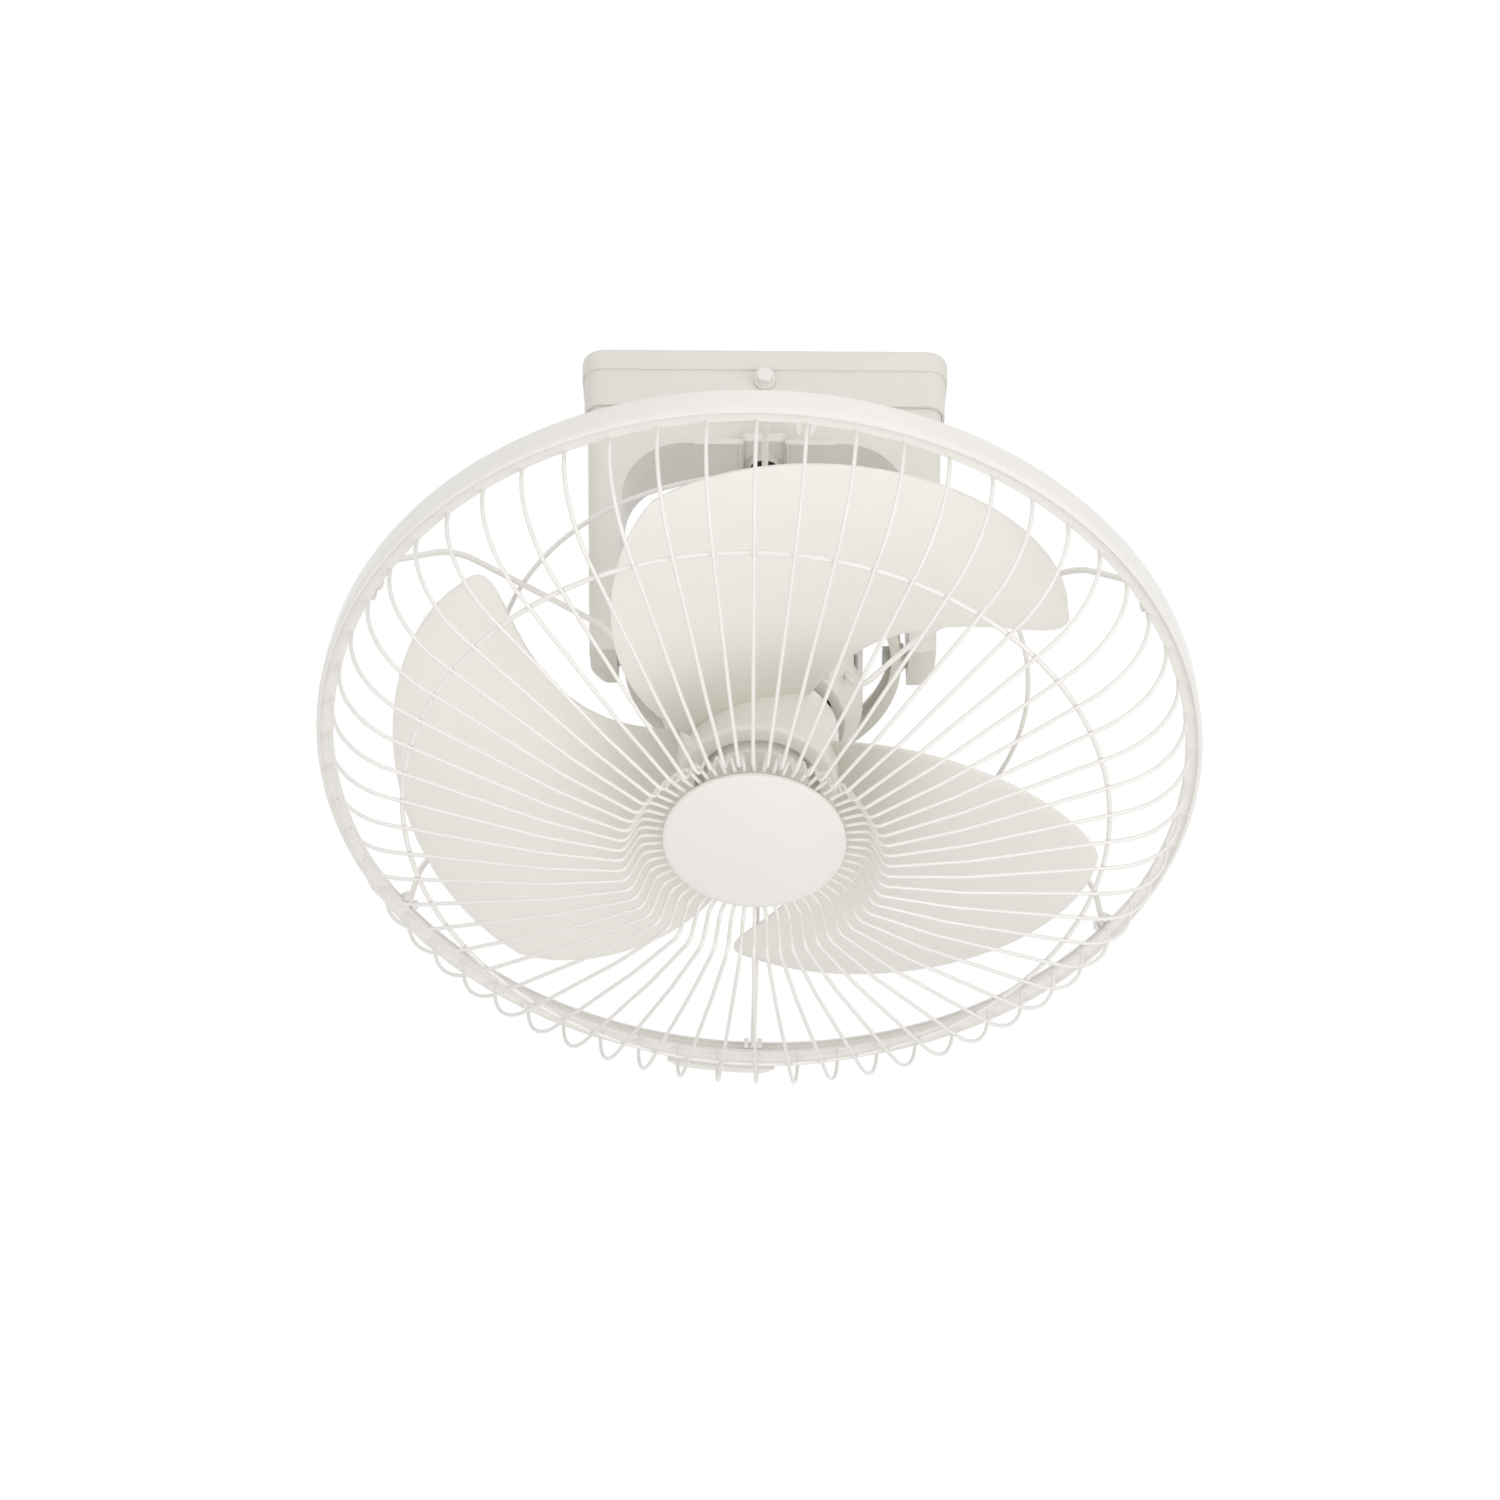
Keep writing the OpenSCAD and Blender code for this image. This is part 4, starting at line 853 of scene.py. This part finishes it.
@dataclass
class Motor(Assembly):
    """The fan motor's housing with what is inside it, and the swing drive on its back."""

    shell_edge: float = 0.9
    case_edge: float = 1.2

    def build(self) -> None:
        """Makes and dresses the motor."""
        palette = self.shop.palette
        enamel = self.shop.get(palette.enamel)
        housings = (
            ("motor_front_shell", self.shell_edge), ("motor_rear_shell", self.shell_edge),
            ("gear_case", self.case_edge))
        for node, edge in housings:
            refined(node, edge).piece(f"{node}_skin", Body.HEAD, enamel, "ivory_metal", (node,))
        self.dress(palette.zinc, "motor_screws", "gear_plate", "gear_case_screws", "crank_arm", "crank_nut",
                   "swing_motor")
        self.dress(palette.pivot, "motor_pivot_bolts")
        self.dress(palette.laminate, "stator_core", "rotor_core")
        self.dress(palette.copper, "stator_coils")
        self.dress(palette.bronze, "front_bearing", "rear_bearing", "crank_bush", "swing_pinion")
        self.dress(palette.black, "swing_capacitor")
        self.dress(palette.nylon, "swing_gear")
        self.dress(palette.ground, "motor_shaft", "crank_shaft", "crank_ball", "hub_pin")


@dataclass
class BladeWheel(Assembly):
    """Three swept blades on a cup hub, held by a spinner.

    Along a blade s runs from 0 at the root to 1 at the tip, and across it c runs from 0 at the trailing edge
    to 1 at the leading edge. The angles of the edges, in degrees, and their heights before the rim plane are
    polynomials of s. The leading edge's drop at the tip is in degrees too, its cut and the camber's loss are
    shares, and the other sizes are in millimetres.
    """

    blade_count: int = 3
    root_r: float = 46.0
    tip_r: float = 225.0
    thickness: float = 2.2
    edge_round: float = 0.7
    rows: int = 30
    columns: int = 26
    trail_angle: "tuple[float, ...]" = (-58.0, 42.8)
    lead_angle: "tuple[float, ...]" = (39.1, -34.6, 156.8, -93.8)
    trail_height: "tuple[float, ...]" = (-5.0, 55.4, -34.9)
    lead_height: "tuple[float, ...]" = (-29.6, 6.3, -28.8)
    lead_drop: float = 5.5
    lead_cut: float = 0.065
    trail_corner: float = 10.0
    lead_corner: float = 9.0
    camber: float = 7.0
    camber_loss: float = 0.4
    lead_lift: float = 10.0
    trail_sag: float = 7.0
    hub_r: float = 48.5
    hub_wall: float = 3.0
    hub_back: float = -34.0
    hub_length: float = 48.0

    def point(self, s: float, c: float) -> Vector:
        """A point of the blade's middle surface.

        Args:
            s: Place along the blade.
            c: Place across the blade.

        Returns:
            The point in the head's axes, in millimetres.
        """
        trail = curve(self.trail_angle, s)
        lead = curve(self.lead_angle, s) - self.lead_drop * s**12
        phi = math.radians(trail + (lead - trail) * c - 90)
        radius = self.root_r + (self.tip_r - self.root_r) * s * (1 - self.lead_cut * c**3 * s**2)
        radius -= self.trail_corner * s**8 * (1 - c) ** 8 + self.lead_corner * s**12 * c**10
        low, high = curve(self.trail_height, s), curve(self.lead_height, s)
        height = low + (high - low) * c + self.camber * math.sin(math.pi * c) * (1 - self.camber_loss * s)
        height += self.lead_lift * s**6 * c**4 - self.trail_sag * s**3 * (1 - c**3)
        return Vector((radius * math.cos(phi), radius * math.sin(phi), -RIM_PLANE - height))

    def blades(self) -> Form:
        """Lays a grid into the blade's surface, thickens it and repeats it.

        Returns:
            The form with all blades.
        """
        form = Form()
        bmesh.ops.create_grid(form.bm, x_segments=self.rows, y_segments=self.columns, size=0.5)
        for vert in form.bm.verts:
            vert.co = self.point(vert.co.x + 0.5, vert.co.y + 0.5)
        bmesh.ops.solidify(form.bm, geom=form.bm.faces[:], thickness=self.thickness)
        return form.softened(self.edge_round, 3, BLADE_ROUND_PAST).around(self.blade_count, BLADE_TURN)

    def hub(self) -> Form:
        """Turns the cup hub with its rolled lip.

        Returns:
            The form.
        """
        r, wall, back = self.hub_r, self.hub_r - self.hub_wall, -RIM_PLANE - self.hub_back
        front = back - self.hub_length
        outside = [(wall, back), (r, back), (r, front + 3.2), (r - 0.5, front + 1.4), (r - 1.5, front + 0.4)]
        lip = [(wall, front), (38.6, front), (37.6, front + 0.5), (37.2, front + 1.5), (36.6, front + 7.6)]
        inside = [(33.0, front + 8), (5.0, front + 8), (5.0, front + 11), (wall, front + 11)]
        return Form().turned(outside + lip + inside, 96, closed=True)

    def spinner(self) -> Form:
        """Turns the spinner that fills the hub's front.

        Returns:
            The form.
        """
        front = -RIM_PLANE - self.hub_back - self.hub_length
        boss = [(0.0, front - 4), (11.5, front - 4), (12.6, front - 3.6), (13.2, front - 2.6)]
        face = [(14.2, front - 1.2), (29.5, front - 1), (30.6, front - 0.5), (31.2, front + 0.5)]
        return Form().turned(boss + face + [(32.4, front + 7.9), (0.0, front + 7.9)], 96)

    def build(self) -> None:
        """Makes the blades, hub and spinner."""
        palette = self.shop.palette
        plastic, hub = self.shop.get(palette.blade), self.shop.get(palette.hub)
        self.blades().piece(
            "fan_blades", Body.ROTOR, plastic, "blade_plastic", ("blade_wheel",), head=True,
            sharp_past=THIN_SHARP_PAST)
        self.hub().piece("blade_hub", Body.ROTOR, hub, "blade_plastic", ("blade_wheel",), head=True)
        self.spinner().piece("hub_spinner", Body.ROTOR, hub, "hub_plastic", ("spinner",), head=True)


@dataclass
class Guard(Assembly):
    """The wire guard: rim band, front and rear wires, cap, rings, prongs, clips and latch.

    Heights are before the rim plane. A path holds the radius, height and bend radius of each corner of a
    wire, and a ring its radius and height. The latch lies between two distances outside the rim.
    """

    wire_count: int = 60
    wire_r: float = 1.12
    wire_path: "tuple[Triple, ...]" = (
        (255.0, 0.0, 0.0), (255.0, 43.365, 52.0), (124.0, 72.6, 60.0), (75.6, 78.6, 6.0), (67.3, 56.5, 6.0),
        (31.0, 56.5, 0.0))
    spoke_count: int = 6
    spoke_r: float = 1.8
    spoke_path: "tuple[Triple, ...]" = (
        (254.0, -3.8, 0.0), (250.5, -34.0, 24.0), (212.0, -72.0, 34.0), (112.0, -66.0, 14.0),
        (68.0, -38.0, 9.0), (59.5, -57.5, 0.0))
    ring_r: float = 1.4
    front_ring: "tuple[float, float]" = (206.0, 51.8)
    rear_ring: "tuple[float, float]" = (165.0, -73.34)
    cap_r: float = 53.6
    cap_height: float = 61.7
    cap_rise: float = 3.5
    boss_r: float = 29.0
    rim_r: float = 264.0
    rim_inner: float = 254.2
    rim_depth: float = 16.0
    clip_edge: float = 0.4
    prong_tip: float = 246.8
    prong_root: float = 255.6
    prong_front: float = 0.3
    prong_back: float = 2.2
    prong_width: float = 4.6
    prong_apart: float = 4.1
    prong_lean: float = 0.8
    prong_point: float = 0.35
    prong_round: float = 0.4
    latch_near: float = 0.1
    latch_far: float = 4.4
    latch_start: float = 87.2
    latch_sweep: float = 15.6
    latch_slant: float = 0.8

    def bent(self, path: "tuple[Triple, ...]", radius: float, sides: int) -> Form:
        """Bends one wire of the guard.

        Args:
            path: Radius, height before the rim plane and bend radius of each corner.
            radius: Radius of the wire.
            sides: Sides of its section.

        Returns:
            The form.
        """
        return Form().wire([(r, -RIM_PLANE - height, bend) for r, height, bend in path], radius, sides, 12)

    def front_wires(self) -> Form:
        """Bends one front wire and repeats it."""
        return self.bent(self.wire_path, self.wire_r, 10).around(self.wire_count, GUARD_TURN - 90)

    def rear_spokes(self) -> Form:
        """Bends one rear spoke and repeats it."""
        return self.bent(self.spoke_path, self.spoke_r, 14).around(self.spoke_count, SPOKE_TURN - 90)

    def ring(self, radius: float, height: float) -> Form:
        """Turns a thin wire ring.

        Args:
            radius: Radius of the ring.
            height: Height before the rim plane.

        Returns:
            The form.
        """
        angles = [math.tau * step / 12 for step in range(12)]
        section = [
            (radius + self.ring_r * math.cos(angle), -RIM_PLANE - height + self.ring_r * math.sin(angle))
            for angle in angles]
        return Form().turned(section, 144, closed=True)

    def rim(self) -> Form:
        """Turns the rim band with its rounded ridge and inner grooves.

        Returns:
            The form.
        """
        r, inner, z, back = self.rim_r, self.rim_inner, -RIM_PLANE, -RIM_PLANE + self.rim_depth
        wall, groove = r - 2.5, r - 1.5
        flange = [(inner, z), (inner + 0.5, z - 0.5), (259.4, z - 0.5), (260.6, z - 1.2)]
        ridge = [(r - 2.6, z - 2.6), (r - 1.2, z - 2.4), (r - 0.3, z - 1.2), (r, z + 0.6)]
        edge = [(r, back - 0.8), (r - 0.8, back), (r - 1.7, back), (r - 2.3, back - 0.7), (r - 2.3, z + 14.0)]
        rear_groove = [(groove, z + 13.7), (groove, z + 12.7), (wall, z + 12.3), (wall, z + 9.0)]
        front_groove = [(groove, z + 8.6), (groove, z + 7.6), (wall, z + 7.2), (wall, z + 4.6)]
        inside = [(r - 4.4, z + 2.8), (inner + 0.6, z + 2.8), (inner, z + 2.3)]
        return Form().turned(flange + ridge + edge + rear_groove + front_groove + inside, 180, closed=True)

    def cap(self) -> Form:
        """Turns the bare domed cap with its rolled edge and the boss behind it.

        Returns:
            The form.
        """
        r, rise, edge = self.cap_r, self.cap_rise, -RIM_PLANE - self.cap_height
        dome = (r**2 + rise**2) / (2 * rise)
        radii = (0, 8, 16, 24, 32, 40, 46, 50.5)
        crown = [(x, edge + dome - rise - math.sqrt(dome**2 - x**2)) for x in radii]
        rolled = [(r - 1.2, edge - 0.1), (r - 0.3, edge + 0.5), (r, edge + 1.3), (r, edge + 2.5)]
        back = [(r - 0.4, edge + 3), (r - 2.2, edge + 3), (r - 3.2, edge + 1.6)]
        boss = [(self.boss_r, edge + 1.6), (self.boss_r, edge + 6.2), (0.0, edge + 6.2)]
        return Form().turned(crown + rolled + back + boss, 128)

    def prongs(self) -> Form:
        """Shapes the pair of pointed prongs that hold one front wire at the rim.

        Returns:
            The form.
        """
        form = Form()
        low, high = self.prong_front - RIM_PLANE, self.prong_back - RIM_PLANE
        half, apart = self.prong_width / 2, self.prong_apart
        for middle in (-apart, apart):
            form.block((self.prong_tip, middle - half, low), (self.prong_root, middle + half, high))
        for vert in form.bm.verts:
            if vert.co.x < self.prong_tip + 1:
                middle = math.copysign(apart, vert.co.y)
                point = math.copysign(apart - self.prong_lean, middle)
                vert.co.y = point + (vert.co.y - middle) * self.prong_point
        form.softened(self.prong_round, 2, SMALL_ROUND_PAST)
        return form.placed(Matrix.Rotation(math.radians(GUARD_TURN - 90 + 360 / self.wire_count), 4, "Z"))

    def latch(self) -> Form:
        """Bends the latch plate that lies on the rim's outside, with its ends cut at a slant.

        Returns:
            The form.
        """
        inner, outer, z = self.rim_r + self.latch_near, self.rim_r + self.latch_far, -RIM_PLANE
        plate = [
            (inner, z - 6.0), (outer - 0.5, z - 6.4), (outer, z - 5.6), (outer, z + 6.0), (inner, z + 10.0)]
        form = Form().arc(plate, self.latch_start, self.latch_sweep, 14)
        middle = self.latch_start + self.latch_sweep / 2
        for vert in form.bm.verts:
            radius, angle = math.hypot(vert.co.x, vert.co.y), math.degrees(math.atan2(vert.co.y, vert.co.x))
            if radius > (inner + outer) / 2:
                angle = math.radians(middle + (angle - middle) * self.latch_slant)
                vert.co.x, vert.co.y = radius * math.cos(angle), radius * math.sin(angle)
        return form

    def build(self) -> None:
        """Makes and dresses the guard."""
        palette = self.shop.palette
        wire, white = self.shop.get(palette.wire), self.shop.get(palette.guard)
        thin = {
            "front_wires": (self.front_wires(), "front_guard_wires"),
            "rear_spokes": (self.rear_spokes(), "rear_guard_spokes"),
            "support_ring": (self.ring(*self.front_ring), "front_support_ring"),
            "rear_ring": (self.ring(*self.rear_ring), "rear_guard_ring"),
        }
        for name, (form, node) in thin.items():
            form.piece(name, Body.HEAD, wire, "coated_wire", (node,), head=True, sharp_past=THIN_SHARP_PAST)
        self.rim().piece("rim_band_skin", Body.HEAD, white, "white_shell", ("rim_band",), head=True)
        self.cap().piece("cap_skin", Body.HEAD, white, "white_shell", ("guard_cap",), head=True)
        refined("rim_clips", self.clip_edge).piece(
            "rim_clips_skin", Body.HEAD, white, "white_shell", ("rim_clips",))
        self.prongs().piece("wire_prongs", Body.HEAD, white, "white_shell", head=True)
        self.latch().piece("rim_latch_skin", Body.HEAD, white, "white_shell", ("rim_latch",), head=True)
        self.dress(palette.wire, "guard_plate")
        self.dress(palette.zinc, "cap_screw")


@dataclass(frozen=True)
class Lamp:
    """A square soft lamp that looks at the gimbal: its place and side in metres, and its power in watts."""

    name: str
    place: Triple
    side: float
    power: float

    def light(self, colour: Triple) -> None:
        """Hangs the lamp up.

        Args:
            colour: Colour of its light.
        """
        data = bpy.data.lights.new(self.name, "AREA")
        data.size = self.side
        data.energy = self.power
        data.color = colour
        made = bpy.data.objects.new(self.name, data)
        bpy.context.scene.collection.objects.link(made)
        aim = Vector((0.0, 0.0, -GIMBAL_DROP * MM)) - Vector(self.place)
        made.matrix_world = Matrix.Translation(self.place) @ aim.to_track_quat("-Z", "Y").to_matrix().to_4x4()


@dataclass
class Studio:
    """Pale floor, soft lamps and the camera.

    Places are in metres, the camera's turns in degrees, and its lens and sensor in millimetres.
    """

    lens: float = 61.69
    sensor: float = 36.0
    camera_place: Triple = (-0.001421, -1.391378, -1.052457)
    camera_turn: Triple = (118.7983, -0.5258, -0.0455)
    warmth: Triple = (1.0, 0.982, 0.965)
    glow: float = 0.68
    floor_depth: float = 2.4
    floor_side: float = 12.0
    lamps: "tuple[Lamp, ...]" = (
        Lamp("key", (-0.9, -1.7, -1.6), 1.6, 10.0),
        Lamp("fill", (1.4, -1.4, -1.5), 1.8, 16.0),
        Lamp("top", (0.2, -1.2, 1.0), 1.6, 4.0),
        Lamp("under", (0.15, -0.35, -2.2), 1.5, 2.4),
    )

    def camera(self) -> None:
        """Sets the camera up."""
        data = bpy.data.cameras.new("camera")
        data.lens = self.lens
        data.sensor_width = self.sensor
        data.clip_start = 0.01
        made = bpy.data.objects.new("camera", data)
        bpy.context.scene.collection.objects.link(made)
        turn = Euler([math.radians(angle) for angle in self.camera_turn], "XYZ")
        made.matrix_world = Matrix.Translation(self.camera_place) @ turn.to_matrix().to_4x4()
        bpy.context.scene.camera = made

    def floor(self) -> None:
        """Lays a pale floor far below the fan."""
        bm = bmesh.new()
        place = Matrix.Translation((0.0, 0.0, -self.floor_depth))
        bmesh.ops.create_grid(bm, x_segments=1, y_segments=1, size=self.floor_side / 2, matrix=place)
        mesh = bpy.data.meshes.new("floor")
        bm.to_mesh(mesh)
        bm.free()
        made = bpy.data.objects.new("floor", mesh)
        bpy.context.scene.collection.objects.link(made)
        graph = Graph(bpy.data.materials.new("pale_floor"))
        graph.surface(Base_Color=(0.8, 0.8, 0.8, 1.0), Roughness=0.9)
        mesh.materials.append(graph.owner)

    def world(self) -> None:
        """Makes the world light the fan softly and show white behind it."""
        graph = Graph(bpy.data.worlds.new("studio"))
        bpy.context.scene.world = graph.owner
        soft = graph.tree.nodes["Background"]
        graph.feed(soft.inputs["Color"], (*self.warmth, 1.0))
        graph.feed(soft.inputs["Strength"], self.glow)
        white = graph.node("ShaderNodeBackground", inputs={"Color": (1.0, 1.0, 1.0, 1.0), "Strength": 1.0})
        seen = graph.node("ShaderNodeLightPath", output="Is Camera Ray")
        for ray in ("Is Glossy Ray", "Is Transmission Ray"):
            also = graph.node("ShaderNodeLightPath", output=ray)
            seen = graph.node("ShaderNodeMath", {"operation": "MAXIMUM"}, {0: seen, 1: also})
        lit = graph.node("ShaderNodeMixShader", inputs={0: seen, 1: Value(graph, soft.outputs[0]), 2: white})
        graph.feed(graph.tree.nodes["World Output"].inputs["Surface"], lit)

    def build(self) -> None:
        """Sets the studio up."""
        self.camera()
        self.floor()
        self.world()
        for lamp in self.lamps:
            lamp.light(self.warmth)
        bpy.context.scene.view_settings.view_transform = "Standard"


def main() -> None:
    """Builds the fan and the studio."""
    logging.basicConfig(level=logging.INFO, format="%(message)s")
    shop = Shop(Palette())
    Studio().build()
    for part in (Base(shop), Gimbal(shop), Motor(shop), BladeWheel(shop), Guard(shop)):
        part.build()


if __name__ == "__main__":
    main()
